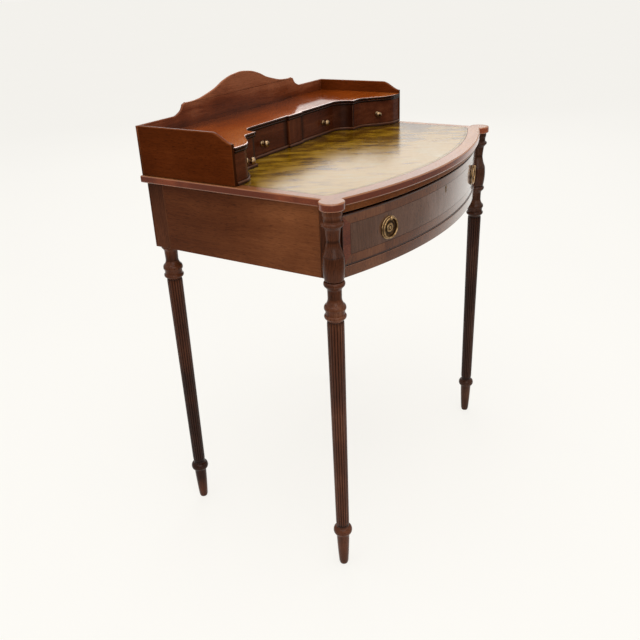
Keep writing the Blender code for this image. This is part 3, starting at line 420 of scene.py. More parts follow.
@dataclass(frozen=True)
class Hide:
    """Skiver: thin hide glued down and glazed, so it shows a fine pebble, slow cockles that
    break up a low reflection, mustard colour rubbed thin over olive, and blind tooled lines
    round its edge."""

    name: str = "tooled_skiver"
    half: float = DESK.top_half - 0.020
    line: Bow = DESK.top_line.inside(0.027)

    def material(self) -> bpy.types.Material:
        """Builds the material.

        Returns:
            The material, on object coordinates.
        """
        made = Surface(self.name)
        # Cockles about 30 mm apart, and the glaze's mottle in streaks of 70 by 25 mm, as the
        # pad was wiped across it at a slant.
        cockle = made.noise(made.place, 34.0, 3.0)
        wiped = made.node("Mapping", {"Vector": made.place, "Rotation": (0.0, 0.0, 1.02)})
        mottle = made.streaks(wiped, (15.0, 40.0, 20.0), 6.0, 0.62)
        tone = made.math("MULTIPLY_ADD", cockle, 0.30, mottle)
        tone = made.math("MULTIPLY_ADD", made.noise(made.place, 9.0, 2.0), 0.35, tone)
        tone = made.math("MULTIPLY_ADD", tone, 0.90, -0.23)
        # Painted light and shade: paler towards its front edge, which lies open to the light, and
        # darker towards its right-hand end, where the drawers shade it.
        tone = made.math("MULTIPLY_ADD", made.axis("Y"), -0.75, tone)
        right_end_shade = made.node(
            "MapRange",
            {"Value": made.axis("X"), "From Min": 0.02, "From Max": 0.30, "To Min": 0.0,
             "To Max": 0.17},
        )
        tone = made.math("SUBTRACT", tone, right_end_shade)
        colour = made.ramp(
            tone,
            ((0.34, "#4a2f04"), (0.46, "#70500a"), (0.58, "#8f6c18"), (0.72, "#8c7137"),
             (0.88, "#96835d")),
        )
        lines = self.tooling(made)
        # Pebble 1.4 mm across, a little coarser than life.
        pebble = made.node("TexVoronoi", {"Vector": made.place, "Scale": 720.0})
        grain = made.bump(pebble, 0.06, 0.0003, made.bump(cockle, 0.05, 0.0040))
        return made.finish({
            "Base Color": made.blend(lines, colour, "#3c3026"),
            "Roughness": made.spread(mottle, 0.15, 0.22),
            "Specular IOR Level": 0.12,
            "IOR": 1.5,
            "Normal": made.bump(lines, 0.6, 0.0004, grain, invert=True),
        })

    def tooling(self, made: Surface) -> Any:
        """Adds the two tooled lines that follow the leather's side and bowed front edges.

        Args:
            made: the finish in the making.

        Returns:
            The node that gives 1 on a line and 0 elsewhere.
        """
        centre = (0.0, self.line.radius - self.line.bow + DESK.shift.y, DESK.surface)
        away = made.node("VectorMath", {0: made.place, 1: centre}, operation="DISTANCE")
        front = made.math("SUBTRACT", self.line.radius, away.outputs["Value"])
        side = made.math("SUBTRACT", self.half, made.math("ABSOLUTE", made.axis("X")))
        edge = made.math("SMOOTH_MIN", front, side, 0.010)
        inner = made.math("COMPARE", edge, 0.0052, 0.0006)
        outer = made.math("COMPARE", edge, 0.0, 0.0011)
        return made.math("MAXIMUM", made.math("MULTIPLY", inner, 0.75), outer)


@dataclass(frozen=True)
class Brass:
    """Stamped or turned brass, lacquered long ago: warm metal that is rubbed bright on what
    stands proud and brown where dirt and old lacquer lie in the hollows."""

    name: str
    bright: str = "#c2a074"
    dull: str = "#80603a"
    sunk: str = "#24140a"
    roughness: float = 0.30

    def material(self) -> bpy.types.Material:
        """Builds the material.

        Returns:
            The material, on object coordinates.
        """
        made = Surface(self.name)
        # Tarnish in clouds 4 mm across, with specks of 0.8 mm.
        cloud = made.noise(made.place, 250.0, 4.0)
        metal = made.ramp(cloud, ((0.30, self.dull), (0.62, self.bright)))
        return made.finish({
            "Base Color": made.blend(made.stored("hollow"), metal, self.sunk),
            "Metallic": 1.0,
            "Roughness": made.spread(cloud, self.roughness - 0.08, self.roughness + 0.14),
            "Normal": made.bump(made.noise(made.place, 1300.0, 1.0), 0.12, 0.0002),
        })


@dataclass(frozen=True)
class BareWood:
    """Planed wood left bare inside a piece, such as drawer linings: dry and matt, pale to
    brown with age, with straight fibres and a little dust in them."""

    name: str
    dark: str
    light: str
    grain: Grain = Grain.ALONG_Y

    def material(self) -> bpy.types.Material:
        """Builds the material.

        Returns:
            The material, on object coordinates.
        """
        made = Surface(self.name)
        laid = made.node("Mapping", {"Vector": made.place, "Rotation": self.grain.value})
        # Growth rings 7 mm apart and fibres of 1.2 mm, both drawn out along the grain.
        rings = made.streaks(laid, (4.0, 140.0, 140.0), 2.0)
        fibre = made.streaks(laid, (25.0, 830.0, 830.0), 2.0)
        tone = made.math("MULTIPLY_ADD", fibre, 0.5, rings)
        return made.finish({
            "Base Color": made.ramp(tone, ((0.55, self.dark), (0.95, self.light))),
            "Roughness": 0.62,
            "Specular IOR Level": 0.3,
            "Normal": made.bump(fibre, 0.2, 0.0002),
        })


# Where a finish's tone slopes along an axis, that slope is painted light and shade, for how the
# light falls on that piece.
FINISHES: dict[str, Mahogany | Hide | Brass | BareWood] = {
    "apron": Mahogany(
        "polished_mahogany_apron", "#471f0c", "#68381d", "#8a5230", Grain.ALONG_Y,
        specular=0.10, roughness=0.34, painted_light_slope=(-1.3, 0.03, "Y"),
    ),
    "gallery_side": Mahogany(
        "polished_mahogany_gallery_side", "#3e1502", "#5a2609", "#7a3b18", Grain.ALONG_Y,
        specular=0.03, roughness=0.32, painted_light_slope=(-0.8, 0.13, "Y"), seed=3.1,
    ),
    "gallery_back": Mahogany(
        "polished_mahogany_gallery_back", "#3e1603", "#6a3218", "#955a3c",
        figure=Figure.RIBBON, specular=0.15, roughness=0.26, clouds=0.8, painted_light_slope=(7.5, 0.842, "Z"),
        seed=1.7,
    ),
    "deck": Mahogany(
        "polished_mahogany_deck", "#5c260a", "#93420f", "#b46c34",
        specular=1.0, roughness=0.06, painted_light_slope=(-2.2, 0.12, "Y"), rubbed_and_lit="#8a5a3c",
        pore_depth=0.04, seed=5.2,
    ),
    # A darker copy of the deck's wood for the moulded front edge: painted shade.
    "moulding": Mahogany(
        "polished_mahogany_moulding", "#2a1008", "#4a2013", "#6c3a28",
        specular=0.14, roughness=0.26, rubbed_and_lit="#8a5a3c", hollow_shade_share=0.95, seed=5.8,
    ),
    "top": Mahogany(
        "polished_mahogany_border", "#673619", "#8c5733", "#ad7c50",
        specular=0.11, roughness=0.18, patch_mm=38.0, rubbed_and_lit="#b07a48",
        painted_light_slope=(0.3, 0.1, "X"), seed=2.4,
    ),
    # A lighter, more orange copy of the border's wood for the board's edge and underside: partly
    # painted light on the edge.
    "top_edge": Mahogany(
        "polished_mahogany_top_edge", "#6a2c12", "#a04e28", "#c88456",
        specular=0.5, roughness=0.17, coat=0.60, patch_mm=38.0, patch_share=0.45,
        clouds=1.1, rubbed_and_lit="#b5703c", wear_and_highlight=0.6, painted_light_slope=(0.4, 0.0, "X"), seed=2.4,
    ),
    "leg": Mahogany(
        "turned_mahogany_leg", "#2e160b", "#5f3521", "#96654a", Grain.ALONG_Z,
        specular=0.13, roughness=0.14, rubbed_and_lit="#8a5a3c", clouds=0.7, hollow_shade_share=0.95,
        painted_light_slope=(-0.55, -0.17, "Y"), seed=0.9,
    ),
    # A darker copy of the leg wood for the right-hand legs: painted shade.
    "leg_right": Mahogany(
        "turned_mahogany_leg_right", "#1c0e08", "#402519", "#6e4a38", Grain.ALONG_Z,
        specular=0.13, roughness=0.14, rubbed_and_lit="#6e4630", clouds=0.7, hollow_shade_share=0.95,
        painted_light_slope=(-0.55, -0.17, "Y"), seed=15.3,
    ),
    "field": Mahogany(
        "drawer_field_veneer", "#4e2e1a", "#735140", "#9c8074", Grain.ALONG_Z,
        specular=0.5, roughness=0.17, coat=0.9, painted_light_slope=(0.8, -0.12, "X"), seed=4.4,
    ),
    "cross_upright": Mahogany(
        "crossband_upright_grain", "#512812", "#714328", "#905e3c", Grain.ALONG_Z,
        specular=0.5, roughness=0.17, coat=0.9, patch_mm=52.0, seed=6.3,
    ),
    "cross_level": Mahogany(
        "crossband_level_grain", "#5e2613", "#87492d", "#a96f50",
        specular=0.5, roughness=0.17, coat=0.9, patch_mm=45.0, painted_light_slope=(0.5, 0.0, "X"),
        seed=7.1,
    ),
    "bead": Mahogany(
        "cock_bead", "#2b130a", "#412214", "#5c3826",
        specular=0.45, roughness=0.20, seed=8.8,
    ),
    "small_front": Mahogany(
        "small_drawer_veneer", "#331105", "#512512", "#724028",
        figure=Figure.RIBBON, specular=0.10, roughness=0.26, seed=9.4,
    ),
    "pilaster": Mahogany(
        "pilaster_veneer", "#321305", "#4f2512", "#6e3e28", Grain.ALONG_Z,
        Figure.RIBBON, specular=0.10, roughness=0.26, seed=10.2,
    ),
    # Darker than the other mahogany as painted shade: the partitions show in the gaps between the
    # small drawers; the plinth and the long drawer's core share it.
    "carcass_dark": Mahogany(
        "shaded_mahogany_carcass", "#170804", "#28110a", "#3c1f13",
        specular=0.20, roughness=0.34, seed=11.5,
    ),
    "rail": Mahogany(
        "polished_mahogany_rail", "#34160a", "#532817", "#72422b",
        specular=0.12, roughness=0.34, seed=12.6,
    ),
    "leather": Hide(),
    "brass": Brass("lacquered_brass"),
    "browned_brass": Brass("browned_brass", "#ae9270", "#644a30"),
    "lock_brass": Brass("rolled_brass", "#b8975c", "#7d6030"),
    "lining": BareWood("drawer_lining_oak", "#8a6238", "#b98f5c"),
    "lining_level": BareWood(
        "drawer_lining_oak_crosswise", "#8a6238", "#b98f5c", Grain.ALONG_X
    ),
    "carcass": BareWood("carcass_pine", "#7d5530", "#a87b48"),
}


class Finishes:
    """Every finish of the desk, made once."""

    def __init__(self) -> None:
        """Builds the materials."""
        for name, finish in FINISHES.items():
            setattr(self, name, finish.material())


# ------------------------------------------------------------------ mesh helpers


def linked(name: str, data: Any) -> Any:
    """An object of this data, linked to the scene."""
    made = bpy.data.objects.new(name, data)
    bpy.context.scene.collection.objects.link(made)
    return made


def evaluated(obj: Any) -> bpy.types.Mesh:
    """The mesh of an object with its modifiers applied."""
    graph = bpy.context.evaluated_depsgraph_get()
    graph.update()
    return bpy.data.meshes.new_from_object(obj.evaluated_get(graph), depsgraph=graph)


def facing(place: Sequence[float], way: Vector) -> Matrix:
    """The pose at a place that turns Z along a way."""
    return Matrix.Translation(place) @ way.to_track_quat("Z", "Y").to_matrix().to_4x4()


def new_object(name: str, mesh: bpy.types.Mesh, material: bpy.types.Material) -> Any:
    """Makes an object of a mesh in one material.

    Args:
        name: name of the object and its mesh.
        mesh: the mesh.
        material: its finish.

    Returns:
        The object, linked to the scene.
    """
    mesh.name = name
    mesh.materials.clear()
    mesh.materials.append(material)
    return linked(name, mesh)


def smoothed(mesh: bpy.types.Mesh, sharp_degrees: float) -> bpy.types.Mesh:
    """Shades a mesh smooth between the edges that turn by more than this, and returns it."""
    mesh.shade_smooth()
    mesh.set_sharp_from_angle(angle=math.radians(sharp_degrees))
    return mesh


def plain(shape: bmesh.types.BMesh, name: str) -> bpy.types.Mesh:
    """Makes a mesh of a shape.

    Args:
        shape: the shape, which is freed.
        name: name of the mesh.

    Returns:
        The mesh.
    """
    mesh = bpy.data.meshes.new(name)
    shape.to_mesh(mesh)
    shape.free()
    return mesh


def tidied(mesh: bpy.types.Mesh, sharp_degrees: float = 38.0) -> bpy.types.Mesh:
    """Merges doubles, turns faces outwards and shades smooth between sharp edges.

    Args:
        mesh: the mesh, changed in place.
        sharp_degrees: edges that turn by more than this stay sharp.

    Returns:
        The same mesh.
    """
    shape = bmesh.new()
    shape.from_mesh(mesh)
    bmesh.ops.remove_doubles(shape, verts=shape.verts, dist=1e-6)
    bmesh.ops.recalc_face_normals(shape, faces=shape.faces)
    shape.to_mesh(mesh)
    shape.free()
    return smoothed(mesh, sharp_degrees)


def two_finishes(mesh: bpy.types.Mesh, edge: bpy.types.Material) -> None:
    """Gives all but the level top faces of a board a second finish.

    Args:
        mesh: the board, changed in place.
        edge: the finish of its edges and underside.
    """
    mesh.materials.append(edge)
    for face in mesh.polygons:
        face.material_index = int(face.normal.z < 0.8)


def set_attribute(mesh: bpy.types.Mesh, name: str, values: Sequence[float]) -> None:
    """Stores one value for each vertex under this name."""
    layer = mesh.attributes.new(name, "FLOAT", "POINT")
    layer.data.foreach_set("value", values)


def lofted(
    rings: Sequence[Sequence[tuple[float, float, float]]], capped: bool = True,
    arris: Sequence[float] | None = None, hollow: Sequence[float] | None = None,
) -> bpy.types.Mesh:
    """Skins closed rings of the same number of points.

    Args:
        rings: points of each ring, from the first end to the last.
        capped: whether both ends are closed.
        arris: how much each ring is lightened, for rubbing and a painted highlight.
        hollow: how sunk each ring is.

    Returns:
        The mesh.
    """
    count = len(rings[0])
    points = [p for ring in rings for p in ring]
    faces = [
        (r * count + i, r * count + (i + 1) % count,
         (r + 1) * count + (i + 1) % count, (r + 1) * count + i)
        for r in range(len(rings) - 1)
        for i in range(count)
    ]
    if capped:
        faces.append(tuple(reversed(range(count))))
        faces.append(tuple(range((len(rings) - 1) * count, len(rings) * count)))
    mesh = bpy.data.meshes.new("loft")
    mesh.from_pydata(points, [], faces)
    for name, values in (("arris", arris), ("hollow", hollow)):
        if values is not None:
            set_attribute(mesh, name, [v for v in values for _ in range(count)])
    return mesh


def counter_clockwise(outline: Sequence[Point]) -> list[Point]:
    """The outline in counter-clockwise order."""
    area = sum(a[0] * b[1] - b[0] * a[1] for a, b in zip(outline, [*outline[1:], outline[0]]))
    return list(outline) if area > 0 else list(reversed(outline))


def inset(outline: Sequence[Point], by: float) -> list[Point]:
    """Moves a counter-clockwise outline inwards by a little.

    Args:
        outline: (x, y) points.
        by: distance, which is negative to move it outwards.

    Returns:
        The moved points.
    """
    moved = []
    count = len(outline)
    for i, (x, y) in enumerate(outline):
        before, after = outline[i - 1], outline[(i + 1) % count]
        a = Vector((x - before[0], y - before[1])).normalized()
        b = Vector((after[0] - x, after[1] - y)).normalized()
        na, nb = Vector((-a.y, a.x)), Vector((-b.y, b.x))
        mitre = (na + nb) / max(1.0 + na.dot(nb), 0.25)
        moved.append((x + mitre.x * by, y + mitre.y * by))
    return moved


def eased(low: float, high: float, radius: float, steps: int = 4) -> list[tuple[float, ...]]:
    """Levels of an edge that is rounded top and bottom.

    Args:
        low: height of the lower face.
        high: height of the upper face.
        radius: radius of both arrises.
        steps: straight steps in each.

    Returns:
        (height, inset, arris lightening for rubbing and a painted highlight) from the bottom up.
    """
    turns = [math.pi / 2 * (1 - i / steps) for i in range(steps + 1)]
    arc = [(radius * (1 - math.sin(a)), radius * (1 - math.cos(a)), math.sin(2 * a)) for a in turns]
    upper = [(high - rise, into, wear_and_highlight) for rise, into, wear_and_highlight in reversed(arc)]
    return [(low + rise, into, wear_and_highlight) for rise, into, wear_and_highlight in arc] + upper


def slab(outline: Sequence[Point], levels: Sequence[tuple[float, ...]]) -> bpy.types.Mesh:
    """A plate with this outline and an eased edge.

    Args:
        outline: (x, y) points.
        levels: (height, inset, arris lightening) from the bottom up.

    Returns:
        The mesh, with its arris lightening for rubbing and a painted highlight.
    """
    around = counter_clockwise(outline)
    rings = [[(x, y, height) for x, y in inset(around, into)] for height, into, _ in levels]
    return tidied(lofted(rings, arris=[wear_and_highlight for _, _, wear_and_highlight in levels]))


def block(low: Sequence[float], high: Sequence[float], radius: float) -> bpy.types.Mesh:
    """A board between two corners with all its arrises eased.

    Args:
        low: lowest corner.
        high: highest corner.
        radius: radius of the arrises.

    Returns:
        The mesh, with its wear.
    """
    shape = bmesh.new()
    size = [b - a for a, b in zip(low, high)]
    middle = Vector([(a + b) / 2 for a, b in zip(low, high)])
    bmesh.ops.create_cube(
        shape, size=1.0, matrix=Matrix.Translation(middle) @ Matrix.Diagonal((*size, 1.0))
    )
    return bevelled(shape, shape.edges[:], radius)


def bevelled(shape: bmesh.types.BMesh, edges: Sequence[Any], radius: float) -> bpy.types.Mesh:
    """Rounds edges and marks them to be lightened, for rubbing and a painted highlight.

    Args:
        shape: the shape, which is freed.
        edges: the edges to round.
        radius: radius of the arrises.

    Returns:
        The mesh, with its arris lightening for rubbing and a painted highlight.
    """
    made = bmesh.ops.bevel(
        shape, geom=list(edges), offset=radius, segments=3, profile=0.5, affect="EDGES",
        clamp_overlap=True,
    )
    rounded = set(made["faces"])
    layer = shape.verts.layers.float.new("arris")
    for vert in shape.verts:
        vert[layer] = 1.0 if all(face in rounded for face in vert.link_faces) else 0.0
    bmesh.ops.recalc_face_normals(shape, faces=shape.faces)
    return smoothed(plain(shape, "eased"), 38.0)


def eased_copy(node: str, radius: float) -> bpy.types.Mesh:
    """A copy of a CAD node's mesh with its sharp arrises rounded.

    Args:
        node: name of the CAD node.
        radius: radius of the arrises.

    Returns:
        The mesh, in the row frame.
    """
    shape = bmesh.new()
    shape.from_mesh(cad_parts[node].data)
    bmesh.ops.remove_doubles(shape, verts=shape.verts, dist=2e-6)
    bmesh.ops.dissolve_limit(
        shape, angle_limit=math.radians(2), verts=shape.verts, edges=shape.edges
    )
    sharp = [
        edge
        for edge in shape.edges
        if len(edge.link_faces) == 2 and edge.calc_face_angle() > math.radians(60)
    ]
    return bevelled(shape, sharp, radius)


def revolved(
    profile: Sequence[Point], segments: int, hollow: Sequence[float] | None = None
) -> bpy.types.Mesh:
    """Turns a profile about Z.

    Args:
        profile: (radius, height) points from one end to the other. An end off the axis is
            closed flat.
        segments: steps round the axis.
        hollow: how sunk each point is.

    Returns:
        The mesh.
    """
    turns = [2 * math.pi * i / segments for i in range(segments)]
    rings = [
        [(max(r, 1e-5) * math.cos(t), max(r, 1e-5) * math.sin(t), z) for t in turns]
        for r, z in profile
    ]
    return tidied(lofted(rings, hollow=hollow), 50.0)


def joined(name: str, pieces: Sequence[Any]) -> Any:
    """Makes one object of several.

    Args:
        name: name of the result.
        pieces: objects, of which the first stays.

    Returns:
        The first object.
    """
    first = pieces[0]
    with bpy.context.temp_override(
        active_object=first, selected_editable_objects=list(pieces), object=first
    ):
        bpy.ops.object.join()
    first.name = name
    first.data.name = name
    return first


def placed(
    obj: Any, body: str, nodes: Sequence[str] = (), in_row: bool = False
) -> Any:
    """Sets a finished piece in the row frame and on its body.

    Args:
        obj: the piece, at the origin, in the desk's own frame.
        body: the CAD body it moves with.
        nodes: CAD nodes it stands for.
        in_row: whether its mesh is in the row frame already.

    Returns:
        The piece.
    """
    if not in_row:
        obj.data.transform(Matrix.Translation(DESK.shift))
    normals = obj.modifiers.new("even_normals", "WEIGHTED_NORMAL")
    normals.keep_sharp = True
    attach(obj, body)
    if nodes:
        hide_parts(*nodes)
    LOG.info("%s on %s: %d faces", obj.name, body, len(obj.data.polygons))
    return obj


def dressed(
    node: str, radius: float, finish: bpy.types.Material, body: str,
    name: str | None = None,
) -> None:
    """Dresses a CAD node with a copy of itself whose arrises are eased.

    Args:
        node: name of the node.
        radius: radius of the arrises.
        finish: its finish.
        body: the CAD body it moves with.
        name: name of the piece, or None to call it the node's board.
    """
    board = new_object(name or f"{node}_board", eased_copy(node, radius), finish)
    placed(board, body, [node], in_row=True)


def turning(start: Point, rows: Rows, height: float, radius: float, fine: int = 9) -> list[Point]:
    """Profile of a turning from its rows of shares.

    Args:
        start: (height, radius) shares where it starts.
        rows: (kind, height share, radius share, swell share) of each step down.
        height: height that the shares are of.
        radius: radius that the shares are of.
        fine: steps in each curve.

    Returns:
        (radius, height) points from the top down.
    """
    points = [(start[1] * radius, start[0] * height)]
    from_z, from_r = start
    for kind, to_z, to_r, swell in rows:
        steps = 1 if kind == "line" else fine
        for i in range(1, steps + 1):
            part = i / steps
            along = (1 - math.cos(math.pi * part)) / 2 if kind == "round" else part
            share = from_r + (to_r - from_r) * along + swell * math.sin(math.pi * part)
            points.append((share * radius, (from_z + (to_z - from_z) * along) * height))
        from_z, from_r = to_z, to_r
    return points


def hollows(profile: Sequence[Point], depth: float) -> list[float]:
    """How far each point of a profile lies in a groove between its neighbours.

    Args:
        profile: (radius, height) points.
        depth: depth that counts as fully sunk.

    Returns:
        A value from 0 to 1 for each point.
    """
    reach = 3
    sunk = []
    for i, (radius, _) in enumerate(profile):
        near = [profile[j][0] for j in range(max(0, i - reach), min(len(profile), i + reach + 1))]
        before, after = max(near[: reach + 1]), max(near[reach:] or near)
        sunk.append(min(1.0, max(0.0, (min(before, after) - radius) / depth)))
    return sunk


# ------------------------------------------------------------------ geometry nodes


class Shaper:
    """A Geometry Nodes tree with named inputs, run once to give a plain mesh."""

    def __init__(self, name: str, inputs: dict[str, float | int]) -> None:
        """Starts a tree.

        Args:
            name: name of the tree.
            inputs: its named inputs and their values.
        """
        self.tree = bpy.data.node_groups.new(name, "GeometryNodeTree")
        self.values = inputs
        face = self.tree.interface
        face.new_socket("Geometry", in_out="INPUT", socket_type="NodeSocketGeometry")
        self.identifiers = {}
        for key, value in inputs.items():
            kind = "NodeSocketInt" if isinstance(value, int) else "NodeSocketFloat"
            socket = face.new_socket(key, in_out="INPUT", socket_type=kind)
            self.identifiers[key] = socket.identifier
        face.new_socket("Geometry", in_out="OUTPUT", socket_type="NodeSocketGeometry")
        self.source = add(self.tree, "NodeGroupInput")

    def input(self, name: str) -> Any:
        """The socket that gives a named input."""
        return self.source.outputs[name]

    def math(self, operation: str, *values: Any) -> Any:
        """A maths node on these values."""
        return add(self.tree, "ShaderNodeMath", dict(enumerate(values)), operation=operation)

    def run(self, geometry: Any, material: bpy.types.Material, base: Any = None) -> Any:
        """Ends the tree and runs it.

        Args:
            geometry: the node that gives the result.
            material: the finish set on it.
            base: mesh that goes in, if the tree takes one.

        Returns:
            The plain mesh.
        """
        real = add(self.tree, "GeometryNodeRealizeInstances", {"Geometry": geometry})
        coated = add(
            self.tree, "GeometryNodeSetMaterial", {"Geometry": real, "Material": material}
        )
        add(self.tree, "NodeGroupOutput", {"Geometry": coated})
        carrier = linked("carrier", base or bpy.data.meshes.new("carrier"))
        modifier = carrier.modifiers.new("shape", "NODES")
        modifier.node_group = self.tree
        for key, value in self.values.items():
            modifier[self.identifiers[key]] = value
        mesh = evaluated(carrier)
        bpy.data.objects.remove(carrier, do_unlink=True)
        return mesh


def reeded_mesh(
    material: bpy.types.Material, top: float, bottom: float, top_radius: float,
    bottom_radius: float, depth: float, runout: float, reeds: int,
) -> bpy.types.Mesh:
    """A tapered shaft whose surface swells into round reeds that die out at both ends.

    Args:
        material: its finish.
        top: height of its upper end.
        bottom: height of its lower end.
        top_radius: radius over the reeds at the top.
        bottom_radius: radius over the reeds at the bottom.
        depth: depth of the valleys.
        runout: length over which the reeds rise.
        reeds: number of reeds.

    Returns:
        The mesh, about the Z axis.
    """
    shaper = Shaper(
        "reeded_shaft",
        {"Top": top, "Bottom": bottom, "Top Radius": top_radius, "Bottom Radius": bottom_radius,
         "Depth": depth, "Runout": runout, "Reeds": reeds},
    )
    tree, value, calc = shaper.tree, shaper.input, shaper.math
    length = calc("SUBTRACT", value("Top"), value("Bottom"))
    around = calc("MULTIPLY", value("Reeds"), 10.0)
    tube = add(
        tree, "GeometryNodeMeshCylinder",
        {"Vertices": around, "Side Segments": 64, "Radius": 1.0, "Depth": length},
        fill_type="NGON",
    )
    place = add(tree, "ShaderNodeSeparateXYZ", {0: add(tree, "GeometryNodeInputPosition")})
    x, y = place.outputs["X"], place.outputs["Y"]
    low = calc("MULTIPLY_ADD", length, 0.5, place.outputs["Z"])
    # Rings crowd towards both ends, where the reeds round off.
    part = add(
        tree, "ShaderNodeMapRange", {"Value": calc("DIVIDE", low, length)},
        interpolation_type="SMOOTHSTEP",
    )
    high = calc("MULTIPLY", part, length)
    spread = calc("SUBTRACT", value("Top Radius"), value("Bottom Radius"))
    crown = calc("MULTIPLY_ADD", spread, part, value("Bottom Radius"))
    turn = calc("ARCTAN2", y, x)
    reed = calc("FRACT", calc("DIVIDE", calc("MULTIPLY", turn, value("Reeds")), 2 * math.pi))
    side = calc("MULTIPLY_ADD", reed, 2.0, -1.0)
    across = calc("SQRT", calc("SUBTRACT", 1.0, calc("MULTIPLY", side, side)))
    to_end = calc("MINIMUM", high, calc("SUBTRACT", length, high))
    into = calc("MINIMUM", calc("DIVIDE", to_end, value("Runout")), 1.0)
    from_crown = calc("SUBTRACT", 1.0, into)
    rise = calc("SQRT", calc("SUBTRACT", 1.0, calc("MULTIPLY", from_crown, from_crown)))
    left = calc("MULTIPLY", across, rise)
    sunk = calc("SUBTRACT", 1.0, left)
    radius = calc("SUBTRACT", crown, calc("MULTIPLY", value("Depth"), sunk))
    reach = calc("SQRT", calc("ADD", calc("MULTIPLY", x, x), calc("MULTIPLY", y, y)))
    scale = calc("DIVIDE", radius, calc("MAXIMUM", reach, 0.001))
    moved = add(
        tree, "ShaderNodeCombineXYZ",
        {"X": calc("MULTIPLY", x, scale), "Y": calc("MULTIPLY", y, scale),
         "Z": calc("ADD", high, value("Bottom"))},
    )
    # The reeds' valleys are stored as hollow, which the wood darkens as painted shade.
    marked = add(
        tree, "GeometryNodeStoreNamedAttribute",
        {"Geometry": tube.outputs["Mesh"], "Name": "hollow",
         "Value": calc("POWER", sunk, 0.7)},
        data_type="FLOAT", domain="POINT",
    )
    shaped = add(tree, "GeometryNodeSetPosition", {"Geometry": marked, "Position": moved})
    return tidied(shaper.run(shaped, material), 70.0)


def swept_mesh(
    material: bpy.types.Material, path: Sequence[tuple[float, float, float]], radius: float,
    resolution: int = 14,
) -> bpy.types.Mesh:
    """A round bead that follows a path.

    Args:
        material: its finish.
        path: points that it follows.
        radius: its radius.
        resolution: points round it.

    Returns:
        The mesh.
    """
    base = bpy.data.meshes.new("path")
    base.from_pydata(list(path), [(i, i + 1) for i in range(len(path) - 1)], [])
    shaper = Shaper("bead_run", {"Radius": radius, "Round": resolution})
    tree = shaper.tree
    line = add(tree, "GeometryNodeMeshToCurve", {"Mesh": shaper.input("Geometry")})
    section = add(
        tree, "GeometryNodeCurvePrimitiveCircle",
        {"Resolution": shaper.input("Round"), "Radius": shaper.input("Radius")},
    )
    swept = add(
        tree, "GeometryNodeCurveToMesh",
        {"Curve": line, "Profile Curve": section.outputs["Curve"], "Fill Caps": True},
    )
    return tidied(shaper.run(swept, material, base), 60.0)


def repeated_mesh(
    material: bpy.types.Material, unit: bpy.types.Mesh,
    spots: Sequence[tuple[tuple[float, float, float], float]], axis: tuple[float, float, float],
) -> bpy.types.Mesh:
    """Copies of a small shape on a set of points.

    Args:
        material: its finish.
        unit: the shape, about its own origin.
        spots: (point, turn in radians) of each copy.
        axis: the axis of the turns.

    Returns:
        The mesh of all copies.
    """
    base = bpy.data.meshes.new("spots")
    base.from_pydata([point for point, _ in spots], [], [])
    set_attribute(base, "turn", [turn for _, turn in spots])
    holder = linked("unit", unit)
    shaper = Shaper("repeats", {"Scale": 1.0})
    tree = shaper.tree
    info = add(tree, "GeometryNodeObjectInfo", {"Object": holder})
    turn = add(tree, "GeometryNodeInputNamedAttribute", {"Name": "turn"}, data_type="FLOAT")
    rotation = add(
        tree, "FunctionNodeAxisAngleToRotation", {"Axis": axis, "Angle": turn}
    )
    copies = add(
        tree, "GeometryNodeInstanceOnPoints",
        {"Points": shaper.input("Geometry"), "Instance": info.outputs["Geometry"],
         "Rotation": rotation, "Scale": shaper.input("Scale")},
    )
    mesh = shaper.run(copies, material, base)
    bpy.data.objects.remove(holder, do_unlink=True)
    return smoothed(mesh, 50.0)


# ------------------------------------------------------------------ legs


